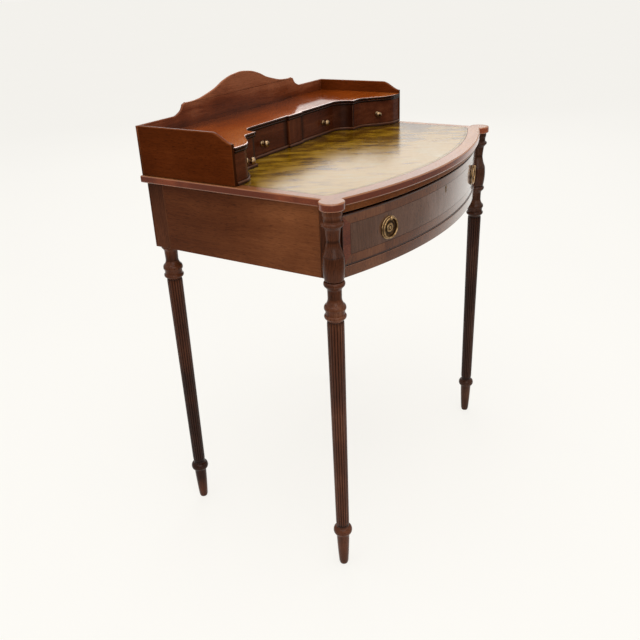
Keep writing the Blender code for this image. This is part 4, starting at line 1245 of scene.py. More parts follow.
@dataclass
class Legs:
    """The four turned and reeded legs, with the stile or block that the frame meets."""

    finishes: Finishes
    radius: float = 0.0199
    reeds: int = 18
    reed_depth: float = 0.0013
    runout: float = 0.0075
    reed_top_radius: float = 0.0155
    reed_bottom_radius: float = 0.0130
    reed_top: float = 0.7350
    reed_bottom: float = 0.1335
    stile_front: float = 0.002
    stile_depth: float = 0.032
    block_side: float = 0.038
    block_back: float = 0.4135
    arris: float = 0.0010

    front_head: Point = (1.0, 0.90)
    back_neck: float = 0.88
    front_rows: Rows = (
        ("line", 0.9890, 0.875, 0.0),
        ("round", 0.9735, 0.835, -0.05),
        ("round", 0.9630, 0.835, 0.165),
        ("line", 0.9600, 0.805, 0.0),
        ("line", 0.9585, 0.715, 0.0),
        ("sweep", 0.9275, 0.595, -0.015),
        ("sweep", 0.8950, 0.925, -0.055),
        ("line", 0.8942, 0.90, 0.0),
        ("line", 0.8928, 0.935, 0.0),
        ("sweep", 0.8400, 0.87, 0.075),
        ("sweep", 0.8335, 0.78, 0.02),
        ("round", 0.8200, 0.76, 0.185),
        ("line", 0.8185, 0.76, 0.0),
        ("sweep", 0.8110, 0.635, -0.03),
        ("line", 0.7915, 0.625, 0.0),
        ("sweep", 0.7755, 0.83, -0.05),
        ("round", 0.7630, 0.90, 0.115),
        ("sweep", 0.7510, 0.87, -0.015),
        ("round", 0.7400, 0.83, 0.14),
    )
    back_rows: Rows = (
        ("line", 0.8230, 0.88, 0.0),
        ("sweep", 0.8130, 0.66, -0.03),
        ("line", 0.7890, 0.635, 0.0),
        ("sweep", 0.7745, 0.83, -0.05),
        ("round", 0.7610, 0.90, 0.115),
        ("sweep", 0.7490, 0.87, -0.015),
        ("round", 0.7385, 0.83, 0.14),
    )
    foot_rows: Rows = (
        ("line", 0.1265, 0.65, 0.0),
        ("round", 0.1040, 0.70, 0.26),
        ("line", 0.1025, 0.65, 0.0),
        ("sweep", 0.0300, 0.53, 0.01),
        ("line", 0.0070, 0.47, 0.0),
        ("line", 0.0, 0.39, 0.0),
    )

    def build(self) -> None:
        """Builds all four legs."""
        for side, hand in HANDS:
            inner, outer = sorted(
                (side * (DESK.apron_x - DESK.apron_thickness), side * DESK.apron_x)
            )
            stile = block(
                (inner, -self.stile_front, DESK.frame_bottom),
                (outer, self.stile_depth - self.stile_front, DESK.frame_top),
                self.arris,
            )
            self.leg(f"leg_front_{hand}", side * DESK.leg_x, 0.0, self.front_head,
                     self.front_rows, stile)
            middle = side * (DESK.apron_x - self.block_side / 2)
            square = block(
                (middle - self.block_side / 2, self.block_back - self.block_side,
                 DESK.frame_bottom),
                (middle + self.block_side / 2, self.block_back, DESK.frame_top),
                self.arris,
            )
            head = ((DESK.frame_bottom + self.block_side / 3) / DESK.frame_top, self.back_neck)
            self.leg(f"leg_back_{hand}", middle, self.block_back - self.block_side / 2, head,
                     self.back_rows, square)

    def leg(
        self, name: str, x: float, y: float, head: Point, rows: Rows, square: bpy.types.Mesh
    ) -> None:
        """Builds one leg.

        Args:
            name: name of the leg and of its CAD node.
            x: X of its axis.
            y: Y of its axis.
            head: (height, radius) shares of the turning's upper end.
            rows: the turning from there to the reeding.
            square: the stile or block, in place.
        """
        # The right-hand legs take the darker copy of the leg wood, as painted shade.
        wood = self.finishes.leg_right if x > 0 else self.finishes.leg
        height = DESK.frame_top
        core_top = self.reed_top_radius - self.reed_depth
        core_bottom = self.reed_bottom_radius - self.reed_depth
        upper = turning(head, rows, height, self.radius)
        upper.append((core_top, self.reed_top * height))
        upper.append((core_top, self.reed_top * height - self.reed_depth))
        foot_start = (self.reed_bottom, core_bottom / self.radius)
        foot = [(core_bottom, self.reed_bottom * height + self.reed_depth)] + turning(
            foot_start, self.foot_rows, height, self.radius
        )
        parts = []
        for label, profile in (("turning", upper), ("foot", foot)):
            closed = [(0.0, profile[0][1])] + profile + [(0.0, profile[-1][1])]
            # The turning's grooves are stored as hollow, which the wood darkens as painted shade.
            mesh = revolved(closed, 72, hollows(closed, self.radius * 0.05))
            parts.append(new_object(f"{name}_{label}", mesh, wood))
        shaft = reeded_mesh(
            wood, self.reed_top * height, self.reed_bottom * height, self.reed_top_radius,
            self.reed_bottom_radius, self.reed_depth, self.runout, self.reeds,
        )
        parts.append(new_object(f"{name}_shaft", shaft, wood))
        for part in parts:
            part.data.transform(Matrix.Translation((x, y, 0.0)))
        parts.append(new_object(f"{name}_square", square, wood))
        placed(joined(f"{name}_turned", parts), "body", [name])


# ------------------------------------------------------------------ top and leather


@dataclass
class WritingTop:
    """The top board with its round ears over the front legs, and the leather let into it."""

    finishes: Finishes
    ear_radius: float = 0.0225
    border_side: float = 0.020
    border_front: float = 0.027
    leather_back: float = 0.296
    leather_thickness: float = 0.0013
    corner: float = 0.012
    arris: float = 0.0026

    def outline(self) -> list[Point]:
        """Plan of the board.

        Returns:
            Points of the closed outline, counter-clockwise from the front's middle.
        """
        line = DESK.top_line
        side_turn = math.acos((DESK.top_half - DESK.leg_x) / self.ear_radius)
        low, high = -math.pi, -math.pi / 2
        for _ in range(40):
            middle = (low + high) / 2
            x = DESK.leg_x + self.ear_radius * math.cos(middle)
            outside = self.ear_radius * math.sin(middle) < line.y(x)
            low, high = (low, middle) if outside else (middle, high)
        bow_end = DESK.leg_x + self.ear_radius * math.cos(low)
        steps = 40
        bow = [(bow_end * i / steps, line.y(bow_end * i / steps)) for i in range(steps + 1)]
        ear = [
            (DESK.leg_x + self.ear_radius * math.cos(turn), self.ear_radius * math.sin(turn))
            for turn in (low + (side_turn - low) * i / steps for i in range(1, steps + 1))
        ]
        right = bow + ear + [(DESK.top_half, DESK.top_back)]
        return right + [(-x, y) for x, y in reversed(right) if x > 1e-6]

    def recess(self, inside: float) -> list[Point]:
        """Plan of the leather.

        Args:
            inside: how far within the recess's edge it lies.

        Returns:
            Points of the closed outline, counter-clockwise, with round front corners.
        """
        half = DESK.top_half - self.border_side - inside
        line = DESK.top_line.inside(self.border_front + inside)
        end = half - self.corner
        tip = (half, line.y(half))
        start, stop = (end, line.y(end)), (half, tip[1] + self.corner)
        round_off = [
            tuple(
                (1 - t) ** 2 * a + 2 * t * (1 - t) * b + t * t * c
                for a, b, c in zip(start, tip, stop)
            )
            for t in (i / 8 for i in range(1, 9))
        ]
        right = round_off + [(half, self.leather_back - inside)]
        left = [(-x, y) for x, y in reversed(right)]
        return line.points(end, 72) + right + left

    def build(self) -> None:
        """Builds the board and the leather."""
        depth = self.leather_thickness + DESK.gap
        around = counter_clockwise(self.outline())
        levels = eased(DESK.surface - DESK.top_thickness, DESK.surface, self.arris, 5)
        rings = [[(x, y, z) for x, y in inset(around, into)] for z, into, _ in levels]
        shell = lofted(rings, capped=False, arris=[wear_and_highlight for _, _, wear_and_highlight in levels])
        shape = bmesh.new()
        shape.from_mesh(shell)
        shape.verts.ensure_lookup_table()
        count = len(around)
        shape.faces.new([shape.verts[i] for i in reversed(range(count))])
        rim = [shape.verts[i] for i in range(len(shape.verts) - count, len(shape.verts))]
        pocket = self.recess(0.0)
        lip = [shape.verts.new((x, y, DESK.surface)) for x, y in pocket]
        floor = [shape.verts.new((x, y, DESK.surface - depth)) for x, y in pocket]
        ring = rim + lip
        for face in tessellate_polygon([[v.co for v in rim], [v.co for v in lip]]):
            shape.faces.new([ring[i] for i in face])
        for i in range(len(lip)):
            j = (i + 1) % len(lip)
            shape.faces.new((lip[i], lip[j], floor[j], floor[i]))
        shape.faces.new(floor)
        mesh = tidied(plain(shape, "board"))
        board = new_object("writing_top_board", mesh, self.finishes.top)
        # The edge and underside take the lighter copy of the wood, partly as painted light.
        two_finishes(mesh, self.finishes.top_edge)
        placed(board, "body", ["top_board"])

        hide = slab(
            self.recess(DESK.gap),
            eased(DESK.surface - self.leather_thickness, DESK.surface, 0.0004, 2),
        )
        panel = new_object("tooled_leather", hide, self.finishes.leather)
        placed(panel, "body", ["leather_panel"])


# ------------------------------------------------------------------ frame


@dataclass
class TableFrame:
    """Side aprons, back rail, the two bowed rails, runners and kickers."""

    finishes: Finishes
    arris: float = 0.0009
    bottom_depth: float = 0.042
    top_rail_bow: float = 0.0640
    top_rail_height: float = 0.0115
    top_rail_depth: float = 0.036
    stop_x: float = 0.15886
    stop_length: float = 0.045
    stop_depth: float = 0.014
    stop_height: float = 0.0050
    front_thickness: float = 0.020

    def bar(self, line: Bow, depth: float, low: float, high: float) -> bpy.types.Mesh:
        """A bowed rail of even depth.

        Args:
            line: its front face.
            depth: front to back.
            low: height of its lower face.
            high: height of its upper face.

        Returns:
            The mesh.
        """
        half = DESK.apron_x - DESK.apron_thickness - DESK.gap
        outline = line.points(half) + line.inside(depth).points(half)[::-1]
        return slab(outline, eased(low, high, self.arris, 3))

    def build(self) -> None:
        """Builds the frame."""
        finishes = self.finishes
        for _, hand in HANDS:
            dressed(f"apron_{hand}", self.arris, finishes.apron, "body",
                    f"side_apron_{hand}")
        low = DESK.frame_bottom
        high = low + DESK.bottom_rail_height
        rail = self.bar(DESK.rail_line, self.bottom_depth, low, high)
        parts = [new_object("rail", rail, finishes.cross_upright)]
        reach = self.stop_length / 2
        stop_y = DESK.rail_line.inside(self.front_thickness).y(self.stop_x + reach)
        for side, _ in HANDS:
            stop = block(
                (side * self.stop_x - reach, stop_y + DESK.gap, low + self.stop_height),
                (side * self.stop_x + reach, stop_y + self.stop_depth, high + self.stop_height),
                self.arris,
            )
            parts.append(new_object("stop", stop, finishes.carcass))
        placed(joined("bowed_bottom_rail", parts), "body", ["bottom_rail"])
        upper = self.bar(
            Bow(self.top_rail_bow, DESK.rail_line.radius), self.top_rail_depth,
            DESK.frame_top - self.top_rail_height, DESK.frame_top,
        )
        placed(new_object("bowed_top_rail", upper, finishes.top), "body",
               ["top_rail"])
        dressed("back_rail", self.arris, finishes.rail, "body")
        for kind in ("runner", "kicker"):
            for _, hand in HANDS:
                node = f"{kind}_{hand}"
                dressed(node, self.arris, finishes.carcass, "body",
                        f"{node}_strip")


# ------------------------------------------------------------------ long drawer


@dataclass
class RingPull:
    """A stamped round backplate with a rosette, and the ring that hangs from its post."""

    finishes: Finishes
    plate_radius: float = 0.0215
    plate_height: float = 0.0042
    ring_radius: float = 0.0180
    wire_radius: float = 0.0015
    stand_off: float = 0.0046
    post_radius: float = 0.0034
    post_root: float = 0.0008
    bore_play: float = 0.00055
    bore_half: float = 0.006
    petals: int = 10
    petal: tuple[float, float, float] = (0.00115, 0.00062, 0.0005)
    petal_reach_share: float = 0.29
    petal_height_share: float = 0.90

    plate_shares: tuple[Point, ...] = (
        (0.0, 1.0), (0.05, 0.99), (0.09, 0.93), (0.12, 0.80), (0.155, 0.68), (0.20, 0.66),
        (0.225, 0.74), (0.25, 0.86), (0.29, 0.90), (0.33, 0.89), (0.365, 0.82), (0.40, 0.62),
        (0.44, 0.46), (0.50, 0.37), (0.60, 0.34), (0.72, 0.33), (0.80, 0.34), (0.84, 0.44),
        (0.87, 0.53), (0.91, 0.56), (0.95, 0.53), (0.98, 0.42), (1.0, 0.24), (1.0, 0.0),
        (0.0, 0.0),
    )
    plate_sunk: tuple[float, ...] = (
        0.0, 0.0, 0.1, 0.5, 1.0, 0.9, 0.4, 0.0, 0.0, 0.0, 0.2, 0.8, 1.0, 0.9, 0.6, 0.6, 0.8,
        0.7, 0.1, 0.0, 0.0, 0.3, 0.8, 1.0, 1.0,
    )
    post_shares: tuple[Point, ...] = (
        (0.0, 1.0), (0.30, 0.985), (0.55, 0.93), (0.76, 0.84), (0.90, 0.72), (0.98, 0.60),
        (1.0, 0.50), (0.98, 0.40), (0.90, 0.28), (0.78, 0.18), (0.70, 0.12), (0.70, 0.0),
        (0.0, 0.0),
    )

    def build(self, hand: str, seat: Vector, outward: Vector) -> None:
        """Builds one pull.

        Args:
            hand: left or right.
            seat: middle of the backplate's back, in the desk's own frame.
            outward: unit vector out of the drawer's face.
        """
        brass = self.finishes.brass
        turn = Matrix(
            ((-outward.y, 0.0, outward.x, seat.x), (outward.x, 0.0, outward.y, seat.y),
             (0.0, 1.0, 0.0, seat.z), (0.0, 0.0, 0.0, 1.0))
        )
        profile = [(r * self.plate_radius, h * self.plate_height) for r, h in self.plate_shares]
        plate = new_object("plate", revolved(profile, 96, self.plate_sunk), brass)
        root, height = self.post_root, 2 * (self.stand_off - self.post_root)
        profile = [(r * self.post_radius, h * height + root) for r, h in self.post_shares]
        post = new_object("post", revolved(profile, 32), brass)
        post.data.transform(Matrix.Translation((0.0, self.ring_radius, 0.0)))
        pivot = (0.0, self.ring_radius, self.stand_off)
        half, radius = self.bore_half, self.wire_radius + self.bore_play
        bore = revolved([(0.0, half), (radius, half), (radius, -half), (0.0, -half)], 24)
        bore.transform(Matrix.Translation(pivot) @ Matrix.Rotation(math.pi / 2, 4, "Y"))
        self.cut(post, bore)
        parts = [plate, post, self.rosette()]
        for part in parts:
            part.data.transform(turn)
        placed(joined(f"pull_backplate_{hand}", parts), "long_drawer",
               [f"pull_plate_{hand}"])
        ring = self.ring()
        ring.transform(turn @ Matrix.Translation(pivot))
        placed(new_object(f"pull_ring_wire_{hand}", ring, brass), f"ring_{hand}",
               [f"pull_ring_{hand}"])

    def cut(self, obj: Any, cutter_mesh: bpy.types.Mesh) -> None:
        """Takes a shape out of an object.

        Args:
            obj: the object, whose mesh is changed.
            cutter_mesh: the shape taken out.
        """
        cutter = new_object("cutter", cutter_mesh, obj.data.materials[0])
        modifier = obj.modifiers.new("cut", "BOOLEAN")
        modifier.operation, modifier.solver, modifier.object = "DIFFERENCE", "EXACT", cutter
        result = evaluated(obj)
        obj.modifiers.remove(modifier)
        obj.data = result
        bpy.data.objects.remove(cutter, do_unlink=True)
        smoothed(result, 40.0)

    def rosette(self) -> Any:
        """The rosette on the plate's boss: round petals about a button.

        Returns:
            The object, about the plate's own axis.
        """
        shape = bmesh.new()
        bmesh.ops.create_uvsphere(
            shape, u_segments=10, v_segments=6, radius=1.0,
            matrix=Matrix.Diagonal((*self.petal, 1.0)),
        )
        petal = plain(shape, "petal")
        away = self.plate_radius * self.petal_reach_share
        level = self.plate_height * self.petal_height_share
        turns = [2 * math.pi * i / self.petals for i in range(self.petals)]
        spots = [((away * math.cos(t), away * math.sin(t), level), t) for t in turns]
        petals = repeated_mesh(self.finishes.brass, petal, spots, (0.0, 0.0, 1.0))
        return new_object("rosette", petals, self.finishes.brass)

    def ring(self) -> bpy.types.Mesh:
        """The ring, a little thicker at its foot than where it hangs.

        Returns:
            The mesh, hanging down from its pivot at the origin, in the plate's own axes.
        """
        rings = []
        around, section = 72, 16
        for i in range(around):
            turn = 2 * math.pi * i / around
            middle = Vector((math.sin(turn), math.cos(turn), 0.0))
            rings.append(
                [
                    tuple(
                        middle * (self.ring_radius + self.wire_radius * math.cos(a))
                        + Vector((0.0, -self.ring_radius, self.wire_radius * math.sin(a)))
                    )
                    for a in (2 * math.pi * j / section for j in range(section))
                ]
            )
        return tidied(lofted([*rings, rings[0]], capped=False), 80.0)


@dataclass
class LongDrawer:
    """The bowed drawer: crossbanded field, cock-beads, escutcheon, lock, box and pulls."""

    finishes: Finishes
    front_thickness: float = 0.020
    bead_width: float = 0.0026
    bead_proud: float = 0.0012
    band: float = 0.0150
    string: float = 0.0009
    veneer: float = 0.0008
    keyhole_drop: float = 0.023
    keyhole_radius: float = 0.0022
    slot_half: float = 0.0011
    keyhole_length: float = 0.0085
    escutcheon_rim: float = 0.0019
    escutcheon_depth: float = 0.0020
    pull_x: float = 0.197964
    pull_below_top: float = 0.0475
    arris: float = 0.0007
    tail_count: int = 4

    def panel(self, quad: Sequence[Point], face: Bow, depth: float) -> bpy.types.Mesh:
        """A thin sheet laid on a bowed face.

        Args:
            quad: its corners in X and Z: lower left, lower right, upper right, upper left.
            face: the line of its front face.
            depth: its thickness.

        Returns:
            The mesh.
        """
        length = max(abs(quad[1][0] - quad[0][0]), abs(quad[2][0] - quad[3][0]))
        columns = max(2, int(length / 0.006))
        behind = face.inside(depth)
        # Columns of the sheet, so that it follows the bow.
        shape = bmesh.new()
        grid = []
        for i in range(columns + 1):
            part = i / columns
            foot = [a + (b - a) * part for a, b in zip(quad[0], quad[1])]
            head = [a + (b - a) * part for a, b in zip(quad[3], quad[2])]
            column = []
            for (x, z), line in ((foot, face), (head, face), (head, behind), (foot, behind)):
                column.append(shape.verts.new((x, line.y(x), z)))
            grid.append(column)
        for a, b in zip(grid, grid[1:]):
            for i in range(4):
                j = (i + 1) % 4
                shape.faces.new((a[i], b[i], b[j], a[j]))
        shape.faces.new(grid[0])
        shape.faces.new(grid[-1][::-1])
        return tidied(plain(shape, "panel"))

    def keyhole(self, grow: float) -> list[Point]:
        """Outline of the keyhole, or of the plate round it.

        Args:
            grow: how far outside the hole it lies.

        Returns:
            Points in X and Z about the round part's centre, the same number for any grow.
        """
        radius, half = self.keyhole_radius + grow, self.slot_half + grow
        start = math.asin(min(0.98, half / radius))
        round_part = [
            (radius * math.sin(a), -radius * math.cos(a))
            for a in (start + (2 * math.pi - 2 * start) * i / 24 for i in range(25))
        ]
        foot = -self.keyhole_length - grow
        heel = [
            (half * math.cos(a), foot + half - half * math.sin(a))
            for a in (math.pi * i / 8 for i in range(9))
        ]
        return round_part + [(-x, z) for x, z in heel]

    def build(self) -> None:
        """Builds the drawer."""
        finishes = self.finishes
        base = DESK.drawer_bottom
        top = base + DESK.drawer_front_height
        half = DESK.drawer_half
        field_face = DESK.rail_line.inside(self.bead_proud)
        behind = DESK.rail_line.inside(self.front_thickness)
        outline = field_face.inside(self.veneer).points(half) + behind.points(half)[::-1]
        core = new_object(
            "core", slab(outline, eased(base, top, self.arris, 3)), finishes.carcass_dark
        )
        # Corners of the crossband's outer edge, of its inner edge and of the field.
        inner_edge = self.bead_width + self.band
        outer, inner, sunk = (
            ((into - half, base + into), (half - into, base + into),
             (half - into, top - into), (into - half, top - into))
            for into in (self.bead_width, inner_edge, inner_edge + self.string)
        )
        parts = [core]
        for big, small, level, upright in (
            (outer, inner, finishes.cross_level, finishes.cross_upright),
            (inner, sunk, finishes.bead, finishes.bead),
        ):
            quads = (
                (big[0], big[1], small[1], small[0]), (small[1], big[1], big[2], small[2]),
                (small[3], small[2], big[2], big[3]), (big[0], small[0], small[3], big[3]),
            )
            for quad, finish in zip(quads, (upright, level, upright, level)):
                sheet = self.panel(quad, field_face, self.veneer)
                parts.append(new_object("band", sheet, finish))
        field = new_object("field", self.panel(sunk, field_face, self.veneer), finishes.field)
        key_z = top - self.keyhole_drop
        for part in (core, field):
            self.pierce(part, key_z)
        parts.append(field)
        radius = self.bead_width / 2
        bead_line = DESK.rail_line.inside(radius)
        levels = (base + radius, top - radius)
        paths = [[(x, y, z) for x, y in bead_line.points(half - radius, 90)] for z in levels]
        paths += [
            [(x, bead_line.y(x), z) for z in levels] for x in (radius - half, half - radius)
        ]
        for path in paths:
            bead = swept_mesh(finishes.bead, path, radius)
            parts.append(new_object("bead", bead, finishes.bead))
        placed(joined("bowed_drawer_front", parts), "long_drawer",
               ["drawer_front"])
        self.escutcheon(key_z, field_face)
        self.box()
        self.tails(base)
        splay = math.asin(self.pull_x / field_face.radius)
        for side, hand in HANDS:
            outward = Vector((side * math.sin(splay), -math.cos(splay), 0.0))
            seat = Vector(
                (side * self.pull_x, field_face.y(self.pull_x), top - self.pull_below_top)
            )
            RingPull(finishes).build(hand, seat + outward * DESK.gap, outward)

    def pierce(self, obj: Any, key_z: float) -> None:
        """Cuts the seat of the escutcheon through a piece.

        Args:
            obj: the piece.
            key_z: height of the keyhole's centre.
        """
        seat = [(x, z + key_z) for x, z in self.keyhole(self.escutcheon_rim + DESK.gap)]
        past = 0.004
        reach = (-DESK.rail_bow - past, -DESK.rail_bow + self.front_thickness + past)
        cutter = tidied(lofted([[(x, y, z) for x, z in seat] for y in reach]))
        RingPull(self.finishes).cut(obj, cutter)

    def escutcheon(self, key_z: float, face: Bow) -> None:
        """Builds the keyhole plate, a rounded rim about the hole.

        Args:
            key_z: height of the keyhole's centre.
            face: the line of the drawer's field.
        """
        front, back = face.y(0.0), face.y(0.0) + self.escutcheon_depth
        soft = self.escutcheon_rim * 0.35
        sections = (
            (self.escutcheon_rim, back), (self.escutcheon_rim, front + soft * 0.6),
            (self.escutcheon_rim - soft * 0.4, front + soft * 0.1),
            (self.escutcheon_rim - soft, front), (soft, front),
            (soft * 0.4, front + soft * 0.1), (0.0, front + soft * 0.6), (0.0, back),
        )
        rings = [[(x, y, z + key_z) for x, z in self.keyhole(grow)] for grow, y in sections]
        mesh = tidied(lofted([*rings, rings[0]], capped=False))
        plate = new_object("keyhole_plate", mesh, self.finishes.browned_brass)
        placed(plate, "long_drawer", ["escutcheon"])

    def box(self) -> None:
        """Dresses the drawer's box and lock."""
        finishes = self.finishes
        for part, finish, radius in (
            ("side_left", finishes.lining, 0.0012), ("side_right", finishes.lining, 0.0012),
            ("back", finishes.lining_level, 0.0012), ("bottom", finishes.lining_level, 0.0006),
        ):
            dressed(f"drawer_{part}", radius, finish, "long_drawer")
        low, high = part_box("drawer_lock")
        case = new_object("case", eased_copy("drawer_lock", 0.0008), finishes.lock_brass)
        head = revolved(
            [(0.0, 0.0), (0.0, 0.0009), (0.0018, 0.0007), (0.0026, 0.0), (0.0026, -0.0004),
             (0.0, -0.0004)],
            16,
        )
        head.transform(Matrix.Rotation(-math.pi / 2, 4, "X"))
        margin = 0.006
        spots = [
            ((x, high.y, z), 0.0)
            for x in (low.x + margin, high.x - margin)
            for z in (low.z + margin, high.z - margin)
        ]
        screws = repeated_mesh(finishes.brass, head, spots, (0.0, 1.0, 0.0))
        parts = [case, new_object("screws", screws, finishes.brass)]
        placed(joined("drawer_lock_case", parts), "long_drawer", ["drawer_lock"],
               in_row=True)

    def tails(self, base: float) -> None:
        """Lays the dovetails of the drawer sides into the ends of the front.

        Args:
            base: height of the drawer's lower edge.
        """
        lap, length, thick, at_ends = 0.004, 0.0135, 0.00035, 0.010
        pitch = (DESK.drawer_front_height - at_ends) / self.tail_count
        inner = DESK.rail_line.inside(self.front_thickness)
        half = DESK.drawer_half
        root_y = inner.y(half) + DESK.gap
        wide, narrow = pitch * 0.42, pitch * 0.30
        outline = [(root_y - length, wide), (root_y - length, -wide), (root_y, -narrow),
                   (root_y, narrow)]
        for side, hand in HANDS:
            unit = slab(outline, eased(-thick / 2, thick / 2, thick / 4, 1))
            unit.transform(
                Matrix.Rotation(math.pi / 2, 4, "Z") @ Matrix.Rotation(math.pi / 2, 4, "X")
            )
            spots = [
                ((side * half, 0.0, base + lap + pitch * (i + 0.5)), 0.0)
                for i in range(self.tail_count)
            ]
            wood = self.finishes.lining
            tails = repeated_mesh(wood, unit, spots, (0.0, 0.0, 1.0))
            piece = new_object(f"drawer_dovetails_{hand}", tails, wood)
            placed(piece, "long_drawer")


# ------------------------------------------------------------------ superstructure


@dataclass(frozen=True)
class FrontLine:
    """The plan line of the superstructure: pilaster, straight face, hollow and serpentine."""

    pilaster_half: float = 0.0235
    pilaster_proud: float = 0.0042
    inner_y: float = 0.2885
    cove_radius: float = 0.0345
    outer_back_y: float = 0.2520
    outer_front_y: float = 0.1992
    partition: float = 0.0060
    inner_cell_share: float = 0.598
    sweep_start_share: float = 0.14
    sweep_end_share: float = 0.80

    @property
    def end_x(self) -> float:
        """X of the outer drawers' outer ends."""
        return DESK.top_half - DESK.gallery_set_in - DESK.gallery_thickness - DESK.gap

    @property
    def partition_x(self) -> float:
        """X of the partition's inner face."""
        return self.inner_cell_share * self.end_x

    @property
    def outer_x(self) -> float:
        """X of the partition's outer face."""
        return self.partition_x + self.partition

    def cove(self, proud: float, steps: int = 18) -> list[Point]:
        """The hollow end of an inner drawer, from the middle outward.

        Args:
            proud: how far the line stands before the drawers.
            steps: straight steps.

        Returns:
            (x, y) points.
        """
        radius = self.cove_radius - proud
        centre_x = self.partition_x - DESK.gap - self.cove_radius
        centre_y = self.inner_y - self.cove_radius
        return [
            (centre_x + radius * math.sin(a), centre_y + radius * math.cos(a))
            for a in (math.pi / 2 * i / steps for i in range(steps + 1))
        ]

    def sweep(self, proud: float, steps: int = 28) -> list[Point]:
        """The serpentine face of an outer drawer, from its inner end.

        Args:
            proud: how far the line stands before the drawers.
            steps: straight steps.

        Returns:
            (x, y) points.
        """
        start = self.outer_x + self.sweep_start_share * (self.end_x - self.outer_x)
        stop = self.outer_x + self.sweep_end_share * (self.end_x - self.outer_x)
        points = []
        for i in range(steps + 1):
            part = i / steps
            ease = part * part * (3 - 2 * part)
            x = start + (stop - start) * part - proud * math.sin(math.pi * part)
            y = self.outer_back_y + (self.outer_front_y - self.outer_back_y) * ease - proud
            points.append((x, y))
        return points

    def points(self, proud: float) -> list[Point]:
        """The line's right half.

        Args:
            proud: how far it stands before the drawers.

        Returns:
            (x, y) points from the middle to the gallery side.
        """
        front_y = self.inner_y - self.pilaster_proud - proud
        front_x = self.pilaster_half + proud
        cove = self.cove(proud)
        return (
            [(0.0, front_y), (front_x, front_y), (front_x, self.inner_y - proud)]
            + cove
            + [(cove[-1][0], self.outer_back_y - proud)]
            + self.sweep(proud)
            + [(self.end_x, self.outer_front_y - proud)]
        )


@dataclass
class Superstructure:
    """Base, moulded deck, pilaster and partitions over the writing surface."""

    finishes: Finishes
    line: FrontLine = FrontLine()
    base_thickness: float = 0.0065
    cell_height: float = 0.050
    cap: float = 0.0052
    bead: float = 0.0048
    cap_proud: float = 0.0035
    bead_proud: float = 0.0022
    base_proud: float = 0.0028

    @property
    def base_bottom(self) -> float:
        """Underside of the base."""
        return DESK.surface + DESK.gap

    @property
    def deck_bottom(self) -> float:
        """Underside of the deck."""
        return self.base_bottom + self.base_thickness + self.cell_height

    def moulded(self, edge: Sequence[tuple[float, ...]], bottom: float) -> bpy.types.Mesh:
        """A board with a moulded front edge.

        Args:
            edge: (height, proud, arris lightening, painted shade) levels of the edge from the
                bottom up.
            bottom: height of its underside.

        Returns:
            The mesh.
        """
        back = DESK.gallery_back_y - DESK.gap
        rings = []
        for height, proud, _, _ in edge:
            right = self.line.points(proud) + [(self.line.end_x, back)]
            around = right + [(-x, y) for x, y in reversed(right) if x > 1e-6]
            rings.append([(x, y, bottom + height) for x, y in around])
        return tidied(
            lofted(rings, arris=[e[2] for e in edge], hollow=[e[3] for e in edge]), 42.0
        )

    def half_round(
        self, low: float, high: float, root: float, crown: float, steps: int = 8
    ) -> list[tuple[float, ...]]:
        """Levels of a rounded edge.

        Args:
            low: height of its lower end.
            high: height of its upper end.
            root: how proud it is at its ends.
            crown: how proud it is at its middle.
            steps: straight steps.

        Returns:
            (height, proud, arris lightening, painted shade) levels.
        """
        levels = []
        # Painted shade darkens it up to this turn, and thins out above.
        shade_end_turn = 2.2
        for i in range(steps + 1):
            turn = math.pi * i / steps
            rise = (1 - math.cos(turn)) / 2
            swell = math.sin(turn) ** 0.7
            wear_and_highlight = 0.5 * max(0.0, -math.cos(turn)) * math.sin(turn)
            underside_shade = 1.0 if turn < shade_end_turn else max(0.0, 1.0 - 3.0 * (turn - shade_end_turn))
            levels.append((low + (high - low) * rise, root + (crown - root) * swell, wear_and_highlight, underside_shade))
        return levels

    def build(self) -> None:
        """Builds the base, the deck, the pilaster and the partitions."""
        thick = self.base_thickness
        # The plinth's foot is darkened a little as painted shade.
        base_edge = [
            (0.0, self.base_proud * 0.86, 0.0, 0.4),
            (0.0006, self.base_proud, 0.0, 0.0),
            (thick * 0.55, self.base_proud, 0.3, 0.0),
        ] + [
            (thick * (0.55 + 0.45 * math.sin(a)), self.base_proud * (0.3 + 0.7 * math.cos(a)),
             math.sin(2 * a), 0.0)
            for a in (math.pi / 2 * i / 6 for i in range(1, 7))
        ]
        plinth = self.moulded(base_edge, self.base_bottom)
        base = new_object("drawer_plinth", plinth, self.finishes.carcass_dark)
        placed(base, "body", ["superstructure_base"])
        edge = self.half_round(0.0, self.bead * 0.9, self.bead_proud * 0.2, self.bead_proud)
        # The groove between the bead and the cap is darkened as painted shade.
        edge.append((self.bead * 0.96, self.bead_proud * 0.1, 0.0, 1.0))
        top = self.bead + self.cap
        edge += self.half_round(self.bead, top, self.cap_proud * 0.36, self.cap_proud)[:-1]
        edge += [(top, self.cap_proud * 0.36, 0.3, 0.0), (top, -0.0012, 0.0, 0.0)]
        board = self.moulded(edge, self.deck_bottom)
        deck = new_object("moulded_deck", board, self.finishes.deck)
        # The moulded edge takes a darker copy of the deck's wood, as painted shade.
        two_finishes(deck.data, self.finishes.moulding)
        placed(deck, "body", ["deck"])
        dressed("pilaster", 0.0012, self.finishes.pilaster, "body")
        # The partitions take the dark carcass finish, as painted shade in the gaps between the
        # drawers.
        for name in ("partition_center", "partition"):
            for _, hand in HANDS:
                dressed(f"{name}_{hand}", 0.0009, self.finishes.carcass_dark, "body")


